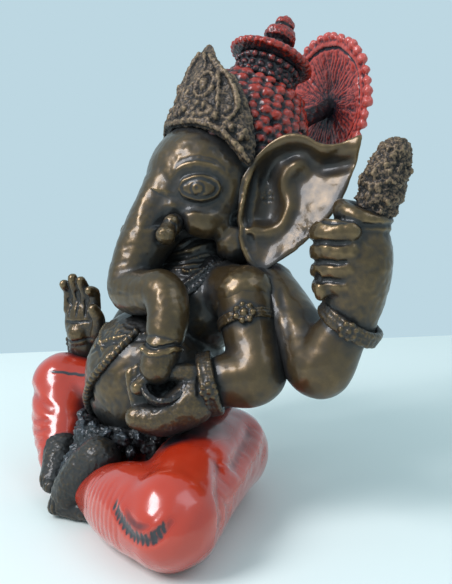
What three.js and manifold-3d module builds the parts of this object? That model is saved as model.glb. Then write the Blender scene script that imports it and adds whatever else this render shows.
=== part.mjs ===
// A seated elephant-headed idol, cast in resin as separate pieces that are pinned and glued together.
// Millimetres, +Z up. The idol faces -Y and its own left hand is on the +X side.
// The origin is on the flat underside, below the middle of the lap.
import * as THREE from "three";
import { mergeVertices } from "three/addons/utils/BufferGeometryUtils.js";
import Module from "manifold-3d";

const wasm = await Module();
wasm.setup();

// ---------------------------------------------------------------- driving dimensions
const GLUE_GAP = 0.35; // between two cast pieces that meet
const SPINE_LEAN = 31; // degrees, how far the trunk of the body leans back
const CROWN_LEAN = 24; // degrees, how far the crown leans back
const LAP_HALF_WIDTH = 36;
const LAP_DEPTH = 34;
const LAP_TOP = 36;
const BELLY_HALF_WIDTH = 30;
const BELLY_HALF_DEPTH = 28;
const BELLY_HALF_HEIGHT = 29;
const BELLY_FORWARD = 4;
const CHEST_HALF_WIDTH = 29;
const CHEST_HALF_DEPTH = 20;
const CHEST_HALF_HEIGHT = 23;
const BELLY_TO_CHEST = 34;
const SHOULDER_HALF_SPAN = 35;
const SHOULDER_RADIUS = 12;
const ARM_RADIUS = 11;
const WRIST_RADIUS = 8.5;
const CHEST_TO_HEAD = 51;
const HEAD_HALF_WIDTH = 26;
const HEAD_HALF_DEPTH = 27;
const HEAD_HALF_HEIGHT = 28;
const TRUNK_ROOT_RADIUS = 16;
const TRUNK_RADIUS = 10;
const TRUNK_TIP_RADIUS = 6.5;
const EAR_THICKNESS = 5;
const EAR_CUP = 7;
const TUSK_RADIUS = 3.4;
const CROWN_RADIUS = 27;
const CROWN_CAP_HEIGHT = 31;
const CROWN_DRUM_RADIUS = 14.5;
const CROWN_DRUM_HEIGHT = 10;
const CROWN_DISH_RADIUS = 18.5;
const CROWN_DISH_HEIGHT = 5;
const FINIAL_RADIUS = 7.2;
const FINIAL_HEIGHT = 20;
const TIARA_THICKNESS = 4.5;
const TIARA_HEIGHT = 35;
const TIARA_WRAP = 74; // degrees, each side of the middle
const HALO_RADIUS = 32;
const HALO_THICKNESS = 4;
const HALO_DISH = 6;
const HALO_BEHIND_CROWN = 36;
const HALO_SCALLOPS = 22;
const HALO_SCALLOP_DEPTH = 1.3;
const LEG_RADIUS = 19.5;
const LEFT_KNEE_RADIUS = 18.5;
const RIGHT_KNEE_RADIUS = 15.5;
const RIGHT_KNEE_LIFT = 23; // how much higher the right knee is held
const CALF_RADIUS = 16;
const ANKLE_RADIUS = 10;
const FOOT_RADIUS = 7.5;
const FINGER_REACH = [31, 34, 33, 30];
const BOWL_RADIUS = 8.8;
const BOWL_DEPTH = 9;
const BOWL_WALL = 2.2;
const BANGLE_WIRE = 2.6;
const CLUB_RADIUS = 8.3;
const CLUB_LENGTH = 42;
const THREAD_RADIUS = 1.9;
const GRIP_RADIUS = 3.2;
const DOWEL_RADIUS = 1.6;
const DOWEL_LENGTH = 16;

// ---------------------------------------------------------------- small helpers
const v = (x, y, z) => new THREE.Vector3(x, y, z);
const radians = THREE.MathUtils.degToRad;
const mirrored = (p) => v(-p.x, p.y, p.z);
const from = (p, x, y, z) => p.clone().add(v(x, y, z));
const leaning = (degrees) => v(0, Math.sin(radians(degrees)), Math.cos(radians(degrees)));

/** A three.js geometry as a manifold-3d solid, with its shared vertices merged. */
function solid(geometry) {
  const bare = geometry.clone();
  bare.deleteAttribute("normal");
  bare.deleteAttribute("uv");
  const merged = mergeVertices(bare, 1e-4);
  const mesh = new wasm.Mesh({
    numProp: 3,
    vertProperties: merged.attributes.position.array,
    triVerts: new Uint32Array(merged.index.array),
  });
  return new wasm.Manifold(mesh);
}

/** A manifold-3d solid as a three.js geometry. */
function geometryOf(made) {
  const mesh = made.getMesh();
  const geometry = new THREE.BufferGeometry();
  geometry.setAttribute("position", new THREE.BufferAttribute(mesh.vertProperties, 3));
  geometry.setIndex(new THREE.BufferAttribute(mesh.triVerts, 1));
  geometry.computeVertexNormals();
  return geometry;
}

/** The biggest separate body of a solid: a cut can leave crumbs beside it. */
function biggest(made) {
  return made.decompose().reduce((a, b) => (a.volume() > b.volume() ? a : b));
}

const join = (...solids) => solids.reduce((a, b) => a.add(b));

/** An ellipsoid. */
function blob(centre, rx, ry, rz, sides = 16, rings = 10) {
  const geometry = new THREE.SphereGeometry(1, sides, rings);
  geometry.rotateX(Math.PI / 2);
  geometry.scale(rx, ry, rz);
  geometry.translate(centre.x, centre.y, centre.z);
  return solid(geometry);
}

/**
 * A round-ended limb along a smooth curve, whose radius follows a list.
 * grow thickens it all over, ends included, and squash narrows it across.
 */
function limb(points, radii, grow, { sides = 10, rings = 10, squash = 1, cap = 0.16 } = {}) {
  const curve = new THREE.CatmullRomCurve3(points, false, "centripetal");
  const frames = curve.computeFrenetFrames(rings);
  const radiusAt = (t) => {
    const at = t * (radii.length - 1);
    const i = Math.min(Math.floor(at), radii.length - 2);
    return THREE.MathUtils.lerp(radii[i], radii[i + 1], at - i);
  };
  const roundEnd = (t) => {
    const near = Math.min(t, 1 - t);
    return near >= cap ? 1 : Math.sqrt(Math.max(0, 1 - ((cap - near) / cap) ** 2));
  };
  const geometry = new THREE.SphereGeometry(1, sides, rings);
  const place = geometry.attributes.position;
  for (let i = 0; i < place.count; i++) {
    const ring = Math.floor(i / (sides + 1));
    const turn = ((i % (sides + 1)) % sides) * ((2 * Math.PI) / sides);
    const t = ring / rings;
    const r = (radiusAt(t) + grow) * roundEnd(t);
    const p = curve.getPointAt(t);
    if (ring === 0) p.addScaledVector(frames.tangents[0], -grow);
    if (ring === rings) p.addScaledVector(frames.tangents[rings], grow);
    p.addScaledVector(frames.normals[ring], Math.cos(turn) * r * squash);
    p.addScaledVector(frames.binormals[ring], Math.sin(turn) * r);
    place.setXYZ(i, p.x, p.y, p.z);
  }
  const made = solid(geometry);
  if (made.volume() > 0) return made;
  geometry.setIndex([...geometry.index.array].reverse());
  return solid(geometry);
}

/** A turned piece: profile is [radius, height] pairs, placed with its foot at base and its axis along up. */
function turned(profile, base, up, segments = 20, reshape = null) {
  const points = profile.map(([r, h]) => new THREE.Vector2(r, h));
  const geometry = new THREE.LatheGeometry(points, segments);
  if (reshape) reshape(geometry.attributes.position);
  geometry.applyQuaternion(new THREE.Quaternion().setFromUnitVectors(v(0, 1, 0), up));
  geometry.translate(base.x, base.y, base.z);
  const made = solid(geometry);
  if (made.volume() > 0) return made;
  geometry.setIndex([...geometry.index.array].reverse());
  return solid(geometry);
}

/** A thick leaf with a smooth outline in its own plane, cupped, and carried into space by place(u, w, v). */
function leaf({ outline, middle, thickness, cup, place, sides = 26, rings = 8 }) {
  const rim = new THREE.CatmullRomCurve3(
    outline.map(([a, b]) => v(a, b, 0)),
    true,
  );
  const geometry = new THREE.SphereGeometry(1, sides, rings);
  const at = geometry.attributes.position;
  for (let i = 0; i < at.count; i++) {
    const ring = Math.floor(i / (sides + 1));
    const share = (i % (sides + 1)) % sides;
    const latitude = (ring / rings) * Math.PI;
    const reach = Math.sin(latitude) ** 0.7;
    const edge = rim.getPoint(share / sides);
    const a = middle[0] + (edge.x - middle[0]) * reach;
    const b = middle[1] + (edge.y - middle[1]) * reach;
    const w = (Math.cos(latitude) * thickness) / 2 + cup * reach ** 2;
    const p = place(a, b, w);
    at.setXYZ(i, p.x, p.y, p.z);
  }
  const made = solid(geometry);
  if (made.volume() > 0) return made;
  geometry.setIndex([...geometry.index.array].reverse());
  return solid(geometry);
}

/** A ring around an axis. */
function ring(centre, axis, radius, wire, sides = 16) {
  const geometry = new THREE.TorusGeometry(radius, wire, 5, sides);
  geometry.applyQuaternion(new THREE.Quaternion().setFromUnitVectors(v(0, 0, 1), axis.clone().normalize()));
  geometry.translate(centre.x, centre.y, centre.z);
  return solid(geometry);
}

/** A straight round bar between two points. */
function bar(a, b, radius, sides = 10) {
  const geometry = new THREE.CylinderGeometry(radius, radius, a.distanceTo(b), sides);
  const along = b.clone().sub(a).normalize();
  geometry.applyQuaternion(new THREE.Quaternion().setFromUnitVectors(v(0, 1, 0), along));
  const middle = a.clone().add(b).multiplyScalar(0.5);
  geometry.translate(middle.x, middle.y, middle.z);
  return solid(geometry);
}

/** A bar centred on a point, for a dowel that pins two pieces together there. */
const dowelAt = (centre, axis) => (grow) => {
  const half = axis.clone().normalize().multiplyScalar(DOWEL_LENGTH / 2 + grow);
  return bar(centre.clone().sub(half), centre.clone().add(half), DOWEL_RADIUS + grow, 8);
};

// ---------------------------------------------------------------- skeleton
const GROUND_CUT = 60;
const bellyCentre = v(0, -BELLY_FORWARD, LAP_TOP - 15 + BELLY_HALF_HEIGHT);
const chestCentre = bellyCentre.clone().addScaledVector(leaning(SPINE_LEAN), BELLY_TO_CHEST);
const headCentre = chestCentre.clone().addScaledVector(leaning(11), CHEST_TO_HEAD);
const crownUp = leaning(CROWN_LEAN);
const crownForward = v(0, -crownUp.z, crownUp.y);
const crownBase = headCentre.clone().addScaledVector(leaning(45), HEAD_HALF_HEIGHT * 0.72);

/** A point on the crown: height along its axis, distance from the axis, turn from the front in radians. */
function crownPoint(height, radius, turn) {
  return crownBase
    .clone()
    .addScaledVector(crownUp, height)
    .addScaledVector(crownForward, radius * Math.cos(turn))
    .addScaledVector(v(1, 0, 0), radius * Math.sin(turn));
}

const shoulder = from(v(0, chestCentre.y, chestCentre.z), SHOULDER_HALF_SPAN, 5, 7);
const leftArm = { shoulder, elbow: from(shoulder, 15, -4.5, -27) };
leftArm.wrist = from(leftArm.elbow, -9, -14.5, -4);
const rightArm = { shoulder: mirrored(shoulder) };
rightArm.elbow = from(rightArm.shoulder, -16, -14, -32);
rightArm.wrist = from(rightArm.elbow, 5, -20, 4);
const rearShoulder = from(shoulder, -3, 13, 1);
const rearLeftArm = { shoulder: rearShoulder, elbow: from(rearShoulder, 35, -1.5, -24.6) };
rearLeftArm.wrist = from(rearLeftArm.elbow, 9, 6.5, 17.6);
const rearRightArm = { shoulder: mirrored(rearShoulder), elbow: from(mirrored(rearShoulder), -34, 0.5, -24.6) };
rearRightArm.wrist = from(rearRightArm.elbow, -6, 7.5, 18.6);

// Bones end inside the joints; the left knee rests on the table and the right one is held up.
const leftHip = v(21, 19, LEG_RADIUS + 1);
const leftKnee = v(63, -27, LEFT_KNEE_RADIUS - 1);
const leftAnkle = v(17, -35, ANKLE_RADIUS + 3);
const rightHip = mirrored(leftHip);
const rightKnee = v(-48, -26, RIGHT_KNEE_RADIUS + RIGHT_KNEE_LIFT);
const rightAnkle = v(-22, -36, ANKLE_RADIUS + 4);

const trunkPath = [
  from(headCentre, 0, -14, -4),
  from(headCentre, 0, -26, -18),
  from(headCentre, 0, -34, -31),
  from(headCentre, 2, -37, -41),
  from(headCentre, 13, -36, -42),
  from(headCentre, 24, -34, -41),
  from(headCentre, 30, -35, -48),
  from(headCentre, 32, -37, -55),
];
const trunkEnd = [
  from(headCentre, 31.6, -36.6, -53),
  from(headCentre, 33, -38.5, -60),
  from(headCentre, 34, -42, -67),
];
const bowlCentre = from(leftArm.wrist, -8, -14, -3);
const bowlUp = v(0.62, -0.42, 0.66).normalize();

// ---------------------------------------------------------------- pieces, as functions of a growth in mm
const ground = (made) => {
  const box = new THREE.BoxGeometry(400, 400, GROUND_CUT);
  box.translate(0, 0, -GROUND_CUT / 2);
  return made.subtract(solid(box));
};

const lap = (g) => ground(blob(v(0, 10, LAP_TOP - 20), LAP_HALF_WIDTH + g, LAP_DEPTH + g, 20 + g));

const leg = (hip, knee, ankle, kneeRadius) => (g) => {
  const thighMiddle = hip.clone().lerp(knee, 0.55);
  const thigh = limb([hip, thighMiddle, knee], [LEG_RADIUS, LEG_RADIUS, kneeRadius], g, { cap: 0.3 });
  const calf = knee.clone().lerp(ankle, 0.5);
  const shin = limb([knee, calf, ankle], [kneeRadius - 1, CALF_RADIUS, ANKLE_RADIUS], g, { cap: 0.3 });
  return ground(thigh.add(shin));
};

const foot = (heel, arch, toes) => (g) => {
  const sole = limb([heel, arch, toes], [FOOT_RADIUS, FOOT_RADIUS - 0.5, FOOT_RADIUS - 2], g, {
    squash: 0.9,
    cap: 0.25,
    rings: 8,
  });
  return ground(sole);
};

const torso = (g) =>
  join(
    blob(bellyCentre, BELLY_HALF_WIDTH + g, BELLY_HALF_DEPTH + g, BELLY_HALF_HEIGHT + g),
    blob(from(bellyCentre, 0, 12, -6), 27 + g, 24 + g, 26 + g, 16, 10),
    blob(chestCentre, CHEST_HALF_WIDTH + g, CHEST_HALF_DEPTH + g, CHEST_HALF_HEIGHT + g, 16, 10),
    limb([shoulder, mirrored(shoulder)], [SHOULDER_RADIUS, SHOULDER_RADIUS], g, { rings: 8 }),
    limb([rearShoulder, mirrored(rearShoulder)], [SHOULDER_RADIUS, SHOULDER_RADIUS], g, { rings: 8 }),
    blob(from(chestCentre, 0, 4, 22), 16 + g, 15 + g, 12 + g, 12, 8),
  );

const sash = (g) =>
  join(
    limb(
      [from(bellyCentre, 27, -2, -19), from(bellyCentre, 0, -29, -21), from(bellyCentre, -27, -2, -19)],
      [4, 5.5, 4],
      g,
      { rings: 12, sides: 8 },
    ),
    limb(
      [from(bellyCentre, 0, -27, -24), from(bellyCentre, -2, -34, -34), from(bellyCentre, -3, -37, -43)],
      [6, 6, 5],
      g,
      { rings: 6, sides: 8 },
    ),
  );

const head = (g) =>
  join(
    blob(headCentre, HEAD_HALF_WIDTH + g, HEAD_HALF_DEPTH + g, HEAD_HALF_HEIGHT + g),
    limb(
      trunkPath,
      [TRUNK_ROOT_RADIUS, TRUNK_RADIUS + 2, TRUNK_RADIUS, TRUNK_RADIUS, 9, 8.5, 8, TRUNK_TIP_RADIUS + 1],
      g,
      { rings: 16, cap: 0.06 },
    ),
  );

const trunkTip = (g) => {
  const radii = [TRUNK_TIP_RADIUS + 1.1, TRUNK_TIP_RADIUS + 0.9, TRUNK_TIP_RADIUS];
  return limb(trunkEnd, radii, g, { rings: 8, cap: 0.22 });
};

const tusk = (side) => (g) =>
  limb(
    [from(headCentre, side * 12, -24, -17), from(headCentre, side * 18, -31, -22)],
    [TUSK_RADIUS, TUSK_RADIUS],
    g,
    { sides: 8, rings: 6, cap: 0.3 },
  );

const earOutline = [
  [-2, 6],
  [2, 14],
  [9, 22],
  [16, 25],
  [24, 23],
  [31, 18.5],
  [38, 17.5],
  [47, 19.5],
  [44, 7],
  [39, -7],
  [27, -19],
  [14, -28],
  [8, -30],
  [1.5, -20],
  [-1, -10],
];
const earRoot = from(headCentre, HEAD_HALF_WIDTH - 1, 2, -7);
const earOut = v(0.77, 0.62, 0.12).normalize();
const earUp = v(-0.05, 0.12, 0.99).normalize();
const earFace = earUp.clone().cross(earOut).negate().normalize();
const ear = (side) => (g) =>
  leaf({
    outline: earOutline,
    middle: [18, 2],
    thickness: EAR_THICKNESS + 2 * g,
    cup: EAR_CUP,
    sides: 32,
    place: (a, b, w) => {
      const p = earRoot
        .clone()
        .addScaledVector(earOut, a)
        .addScaledVector(earUp, b)
        .addScaledVector(earFace, w - EAR_CUP / 2);
      return side > 0 ? p : mirrored(p);
    },
  });

const crownSwell = (g) => blob(crownPoint(8, 9, Math.PI), 21 + g, 22 + g, 19 + g);
const crownTurned = (g) =>
  turned(
    [
      [0, -6 - g],
      [CROWN_RADIUS - 1 + g, -6 - g],
      [CROWN_RADIUS + g, 4],
      [CROWN_RADIUS - 1.5 + g, 14],
      [CROWN_RADIUS - 5 + g, 23],
      [CROWN_DRUM_RADIUS + 1 + g, CROWN_CAP_HEIGHT + g],
      [0, CROWN_CAP_HEIGHT + g],
    ],
    crownBase,
    crownUp,
  );

const crownCap = (g) => crownSwell(g).add(crownTurned(g));

const drumFoot = CROWN_CAP_HEIGHT + GLUE_GAP;
const crownDrum = (g) =>
  turned(
    [
      [0, drumFoot - g],
      [CROWN_DRUM_RADIUS + g, drumFoot - g],
      [CROWN_DRUM_RADIUS - 2 + g, drumFoot + CROWN_DRUM_HEIGHT / 2],
      [CROWN_DRUM_RADIUS - 1 + g, drumFoot + CROWN_DRUM_HEIGHT + g],
      [0, drumFoot + CROWN_DRUM_HEIGHT + g],
    ],
    crownBase,
    crownUp,
    20,
  );

const dishFoot = drumFoot + CROWN_DRUM_HEIGHT + GLUE_GAP;
const crownDish = (g) =>
  turned(
    [
      [0, dishFoot - g],
      [CROWN_DRUM_RADIUS - 1 + g, dishFoot - g],
      [CROWN_DISH_RADIUS + g, dishFoot + CROWN_DISH_HEIGHT * 0.45],
      [CROWN_DISH_RADIUS + g, dishFoot + CROWN_DISH_HEIGHT * 0.85],
      [CROWN_DISH_RADIUS - 3 + g, dishFoot + CROWN_DISH_HEIGHT + g],
      [0, dishFoot + CROWN_DISH_HEIGHT + g],
    ],
    crownBase,
    crownUp,
  );

const finialFoot = dishFoot + CROWN_DISH_HEIGHT + GLUE_GAP;
const finial = (g) =>
  turned(
    [
      [0, finialFoot - g],
      [FINIAL_RADIUS - 1 + g, finialFoot - g],
      [FINIAL_RADIUS - 2.6 + g, finialFoot + FINIAL_HEIGHT * 0.3],
      [FINIAL_RADIUS + g, finialFoot + FINIAL_HEIGHT * 0.5],
      [FINIAL_RADIUS - 1 + g, finialFoot + FINIAL_HEIGHT * 0.72],
      [FINIAL_RADIUS * 0.45 + g, finialFoot + FINIAL_HEIGHT * 0.93],
      [0, finialFoot + FINIAL_HEIGHT + g],
    ],
    crownBase,
    crownUp,
    14,
  );

const tiaraRadius = CROWN_RADIUS + TIARA_THICKNESS / 2 + 0.8;
const tiaraHalf = radians(TIARA_WRAP) * tiaraRadius;
const tiara = (g) =>
  leaf({
    outline: [
      [0, -3],
      [tiaraHalf * 0.55, -4],
      [tiaraHalf, -12],
      [tiaraHalf * 0.92, 2],
      [tiaraHalf * 0.62, 18],
      [tiaraHalf * 0.33, 24],
      [0, TIARA_HEIGHT],
      [-tiaraHalf * 0.33, 24],
      [-tiaraHalf * 0.62, 18],
      [-tiaraHalf * 0.92, 2],
      [-tiaraHalf, -12],
      [-tiaraHalf * 0.55, -4],
    ],
    middle: [0, 9],
    thickness: TIARA_THICKNESS + 2 * g,
    cup: 0,
    place: (a, b, w) => crownPoint(b, tiaraRadius + w, a / tiaraRadius),
    sides: 32,
  });

const haloUp = leaning(2);
const haloBack = v(0, haloUp.z, -haloUp.y);
const haloCentre = crownPoint(26, 0, 0).addScaledVector(v(0, 1, 0), HALO_BEHIND_CROWN).add(v(0, 0, 1));
const halo = (g) =>
  turned(
    [
      [0, HALO_DISH - g],
      [HALO_RADIUS * 0.5, HALO_DISH - 1 - g],
      [HALO_RADIUS - 3, -g],
      [HALO_RADIUS + g, HALO_THICKNESS / 2],
      [HALO_RADIUS - 3, HALO_THICKNESS + g],
      [HALO_RADIUS * 0.5, HALO_DISH + HALO_THICKNESS + g],
      [0, HALO_DISH + HALO_THICKNESS + 1 + g],
    ],
    haloCentre,
    haloBack,
    HALO_SCALLOPS * 2,
    (place) => {
      for (let i = 0; i < place.count; i++) {
        const r = Math.hypot(place.getX(i), place.getZ(i));
        if (r < HALO_RADIUS - 4) continue;
        const turn = Math.atan2(place.getZ(i), place.getX(i));
        const scale = 1 - (HALO_SCALLOP_DEPTH / r) * (0.5 + 0.5 * Math.cos(turn * HALO_SCALLOPS));
        place.setX(i, place.getX(i) * scale);
        place.setZ(i, place.getZ(i) * scale);
      }
    },
  );
const haloStem = (g) => bar(crownPoint(16, 14, Math.PI), from(haloCentre, 0, HALO_DISH + 1, -1), 4.5 + g, 12);

/** An upper arm and a forearm, each running past the elbow so that their round ends make it together. */
const arm = (bones) => (g) => {
  const upperWay = bones.elbow.clone().sub(bones.shoulder).normalize();
  const foreWay = bones.wrist.clone().sub(bones.elbow).normalize();
  const upper = limb(
    [
      bones.shoulder,
      bones.shoulder.clone().lerp(bones.elbow, 0.55).add(v(0, 1, 0)),
      bones.elbow.clone().addScaledVector(upperWay, ARM_RADIUS * 0.7),
    ],
    [SHOULDER_RADIUS, ARM_RADIUS, ARM_RADIUS + 0.5],
    g,
    { rings: 10, cap: 0.16 },
  );
  const fore = limb(
    [
      bones.elbow.clone().addScaledVector(foreWay, -ARM_RADIUS * 0.7),
      bones.elbow.clone().lerp(bones.wrist, 0.5),
      bones.wrist,
    ],
    [ARM_RADIUS, ARM_RADIUS - 0.5, WRIST_RADIUS],
    g,
    { rings: 8, cap: 0.2 },
  );
  return upper.add(fore);
};

const wristAxis = (bones) => bones.wrist.clone().sub(bones.elbow).normalize();
const bangle = (bones) => (g) => ring(bones.wrist, wristAxis(bones), WRIST_RADIUS + 2.4, BANGLE_WIRE + g);
const armlet = (bones) => (g) => {
  const along = bones.elbow.clone().sub(bones.shoulder).normalize();
  const centre = bones.shoulder.clone().addScaledVector(along, 11);
  return ring(centre, along, ARM_RADIUS + 0.8, 2.2 + g, 18);
};

/** The cupped hand that carries the bowl. */
const bowlHand = (g) => {
  const start = leftArm.wrist.clone().addScaledVector(wristAxis(leftArm), -3);
  return join(
    limb([start, from(bowlCentre, 3, 3, -5), from(bowlCentre, -4, -5, -7)], [9, 10, 7], g, { rings: 8 }),
    limb([from(start, 3, -2, 4), from(bowlCentre, 10, -5, 8), from(bowlCentre, 5, -13, 9)], [4, 4, 3], g, {
      rings: 6,
      sides: 8,
    }),
  );
};

const bowl = (g) =>
  turned(
    [
      [0, -g],
      [BOWL_RADIUS * 0.7 + g, -g],
      [BOWL_RADIUS + g, BOWL_DEPTH * 0.6],
      [BOWL_RADIUS + g, BOWL_DEPTH + g],
      [BOWL_RADIUS - BOWL_WALL, BOWL_DEPTH + g],
      [BOWL_RADIUS - BOWL_WALL - 0.5, BOWL_DEPTH * 0.55],
      [BOWL_RADIUS * 0.4, BOWL_WALL],
      [0, BOWL_WALL],
    ],
    bowlCentre,
    bowlUp,
    18,
  );
const bowlFilled = (g) =>
  turned(
    [
      [0, -g],
      [BOWL_RADIUS * 0.7 + g, -g],
      [BOWL_RADIUS + g, BOWL_DEPTH * 0.6],
      [BOWL_RADIUS + g, BOWL_DEPTH + 8],
      [0, BOWL_DEPTH + 8],
    ],
    bowlCentre,
    bowlUp,
    18,
  );

/** The open hand raised in blessing, palm to the front. */
const palmBase = from(rightArm.wrist, 1, -4, -2);
const blessingHand = (g) => {
  const palm = blob(from(palmBase, 0, -1, 12), 9.5 + g, 5 + g, 12 + g, 10, 8);
  const start = rightArm.wrist.clone().addScaledVector(wristAxis(rightArm), -3);
  const heelWay = [start, from(rightArm.wrist, 0, 0, 3), from(palmBase, 0, -1, 9)];
  const heel = limb(heelWay, [8, 8, 6], g, { rings: 8 });
  const fingers = [-7, -2.4, 2.2, 6.6].map((x, i) =>
    limb(
      [from(palmBase, x * 0.8, -1, 18), from(palmBase, x, -1, 26), from(palmBase, x, -3, FINGER_REACH[i])],
      [2.7, 2.6, 2],
      g,
      { sides: 6, rings: 5 },
    ),
  );
  const thumbBones = [from(palmBase, 6, -2, 6), from(palmBase, 10.5, -4, 14), from(palmBase, 10, -5, 20)];
  const thumb = limb(thumbBones, [3, 3, 2.2], g, { sides: 8, rings: 6 });
  return join(palm, heel, ...fingers, thumb);
};

/** A closed fist standing on a wrist, gripping a bar. */
const fist = (bones, up) => (g) => {
  const palm = bones.wrist.clone().addScaledVector(up, 20);
  return join(
    limb(
      [bones.wrist.clone().addScaledVector(up, -3), palm, palm.clone().addScaledVector(up, 17)],
      [10, 13.5, 12],
      g,
      { rings: 8, sides: 14, cap: 0.25 },
    ),
    limb(
      [from(palm, 2, -11, 16), from(palm, -4, -11, 10), from(palm, -6, -8, 0)],
      [4.5, 5, 4],
      g,
      { rings: 6, sides: 8 },
    ),
    ring(palm.clone().addScaledVector(up, 17), v(0.28, 0.17, 0.95), 8, 4 + g, 14),
  );
};
const leftFistUp = v(0.08, 0.05, 1).normalize();
const rightFistUp = v(-0.05, 0.08, 1).normalize();
const clubUp = v(0.28, 0.17, 0.95).normalize();
const clubFoot = rearLeftArm.wrist.clone().addScaledVector(leftFistUp, 24);
const club = (g) =>
  join(
    bar(clubFoot, clubFoot.clone().addScaledVector(clubUp, 14), GRIP_RADIUS + g),
    limb(
      [0.3, 0.6, 1].map((t) => clubFoot.clone().addScaledVector(clubUp, CLUB_LENGTH * t)),
      [CLUB_RADIUS - 1, CLUB_RADIUS, CLUB_RADIUS - 1],
      g,
      { rings: 8, cap: 0.25 },
    ),
  );
const goadUp = v(-0.1, 0.06, 1).normalize();
const goadFoot = rearRightArm.wrist.clone().addScaledVector(rightFistUp, 24);
const goad = (g) => {
  const tip = goadFoot.clone().addScaledVector(goadUp, 34);
  const hook = goadFoot.clone().addScaledVector(goadUp, 24);
  return join(
    bar(goadFoot, tip, GRIP_RADIUS - 0.4 + g),
    limb([hook, from(hook, 1, -9, 4), from(hook, 2, -12, -3)], [3, 3, 2], g, { sides: 8, rings: 6 }),
  );
};

const necklace = (g) =>
  ring(from(chestCentre, 0, -6, 12), v(0, -0.55, 0.83), 19, 5.5 + g, 26);

const thread = (g) => {
  const at = (turn, lift) => {
    const out = v(Math.sin(turn) * BELLY_HALF_WIDTH, -Math.cos(turn) * BELLY_HALF_DEPTH, 0);
    const ring = Math.sqrt(Math.max(0, 1 - (lift / BELLY_HALF_HEIGHT) ** 2));
    return bellyCentre.clone().addScaledVector(out, ring * 1.02).add(v(0, 0, lift));
  };
  return limb(
    [at(0.75, 22), at(0.45, 14), at(0.05, 2), at(-0.25, -9), at(-0.5, -17)],
    [THREAD_RADIUS, THREAD_RADIUS],
    g,
    { sides: 8, rings: 14, cap: 0.05 },
  );
};

// ---------------------------------------------------------------- materials
const paint = {
  bronze: new THREE.MeshStandardMaterial({ color: 0x6b5a3c, roughness: 0.42, metalness: 0.55 }),
  rough_bronze: new THREE.MeshStandardMaterial({ color: 0x6a5950, roughness: 0.8, metalness: 0.35 }),
  red_lacquer: new THREE.MeshStandardMaterial({ color: 0xc8391f, roughness: 0.16, metalness: 0 }),
  dark_wash: new THREE.MeshStandardMaterial({ color: 0x23252f, roughness: 0.5, metalness: 0.2 }),
  steel: new THREE.MeshStandardMaterial({ color: 0xb8babd, roughness: 0.35, metalness: 1 }),
};

// ---------------------------------------------------------------- assembly
// Each row: name, paint, shape, and the pieces that keep their own surface where the two meet.
const shoulderPin = (bones) => dowelAt(bones.shoulder.clone().lerp(bones.elbow, 0.12), v(1, 0, 0));
const dowels = {
  neck_dowel: dowelAt(from(chestCentre, 0, 6, 34), leaning(11)),
  crown_dowel: dowelAt(headCentre.clone().addScaledVector(crownUp, HEAD_HALF_HEIGHT), crownUp),
  left_shoulder_dowel: shoulderPin(leftArm),
  right_shoulder_dowel: shoulderPin(rightArm),
  rear_left_shoulder_dowel: shoulderPin(rearLeftArm),
  rear_right_shoulder_dowel: shoulderPin(rearRightArm),
};
const rearLeftFist = fist(rearLeftArm, leftFistUp);
const rearRightFist = fist(rearRightArm, rightFistUp);
const shapes = {
  lap,
  left_leg: leg(leftHip, leftKnee, leftAnkle, LEFT_KNEE_RADIUS),
  right_leg: leg(rightHip, rightKnee, rightAnkle, RIGHT_KNEE_RADIUS),
  torso,
  head,
  trunk_tip: trunkTip,
  left_ear: ear(1),
  right_ear: ear(-1),
  left_tusk: tusk(1),
  right_tusk: tusk(-1),
  crown_cap: crownCap,
  crown_drum: crownDrum,
  crown_dish: crownDish,
  finial,
  tiara,
  halo,
  halo_stem: haloStem,
  left_arm: arm(leftArm),
  right_arm: arm(rightArm),
  rear_left_arm: arm(rearLeftArm),
  rear_right_arm: arm(rearRightArm),
  left_bangle: bangle(leftArm),
  right_bangle: bangle(rightArm),
  rear_left_bangle: bangle(rearLeftArm),
  rear_right_bangle: bangle(rearRightArm),
  left_armlet: armlet(leftArm),
  right_armlet: armlet(rightArm),
  left_hand: bowlHand,
  right_hand: blessingHand,
  rear_left_hand: rearLeftFist,
  rear_right_hand: rearRightFist,
  bowl,
  club,
  goad,
  left_foot: foot(v(12, -38, 24), v(7, -44, 13), v(2, -50, 6)),
  right_foot: foot(v(-20, -37, 17), v(-14, -42, 12), v(-11, -47, 9)),
  sash,
  necklace,
  sacred_thread: thread,
  ...dowels,
};

const BRONZE = "bronze";
const RED = "red_lacquer";
const ROUGH = "rough_bronze";
const DARK = "dark_wash";
const finishes = {
  lap: RED,
  left_leg: RED,
  right_leg: RED,
  crown_cap: RED,
  crown_drum: RED,
  crown_dish: RED,
  finial: RED,
  halo: RED,
  halo_stem: RED,
  tiara: ROUGH,
  club: ROUGH,
  goad: ROUGH,
  sacred_thread: ROUGH,
  necklace: DARK,
  sash: DARK,
};

// A piece is cut back, by the glue gap, where it would run into one that comes before it here.
const order = Object.keys(dowels).concat([
  "left_leg",
  "right_leg",
  "lap",
  "torso",
  "head",
  "crown_cap",
  "crown_drum",
  "crown_dish",
  "finial",
  "halo_stem",
  "halo",
  "left_ear",
  "right_ear",
  "tiara",
  "left_arm",
  "right_arm",
  "rear_left_arm",
  "rear_right_arm",
  "bowl",
  "club",
  "goad",
  "left_bangle",
  "right_bangle",
  "rear_left_bangle",
  "rear_right_bangle",
  "trunk_tip",
  "left_tusk",
  "right_tusk",
  "left_hand",
  "right_hand",
  "rear_left_hand",
  "rear_right_hand",
  "left_foot",
  "right_foot",
  "sash",
  "left_armlet",
  "right_armlet",
  "necklace",
  "sacred_thread",
]);

/** True if two solids' boxes come within a margin of each other. */
function near(a, b) {
  const [p, q] = [a.boundingBox(), b.boundingBox()];
  return [0, 1, 2].every((i) => p.min[i] <= q.max[i] + 1 && q.min[i] <= p.max[i] + 1);
}

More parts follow.
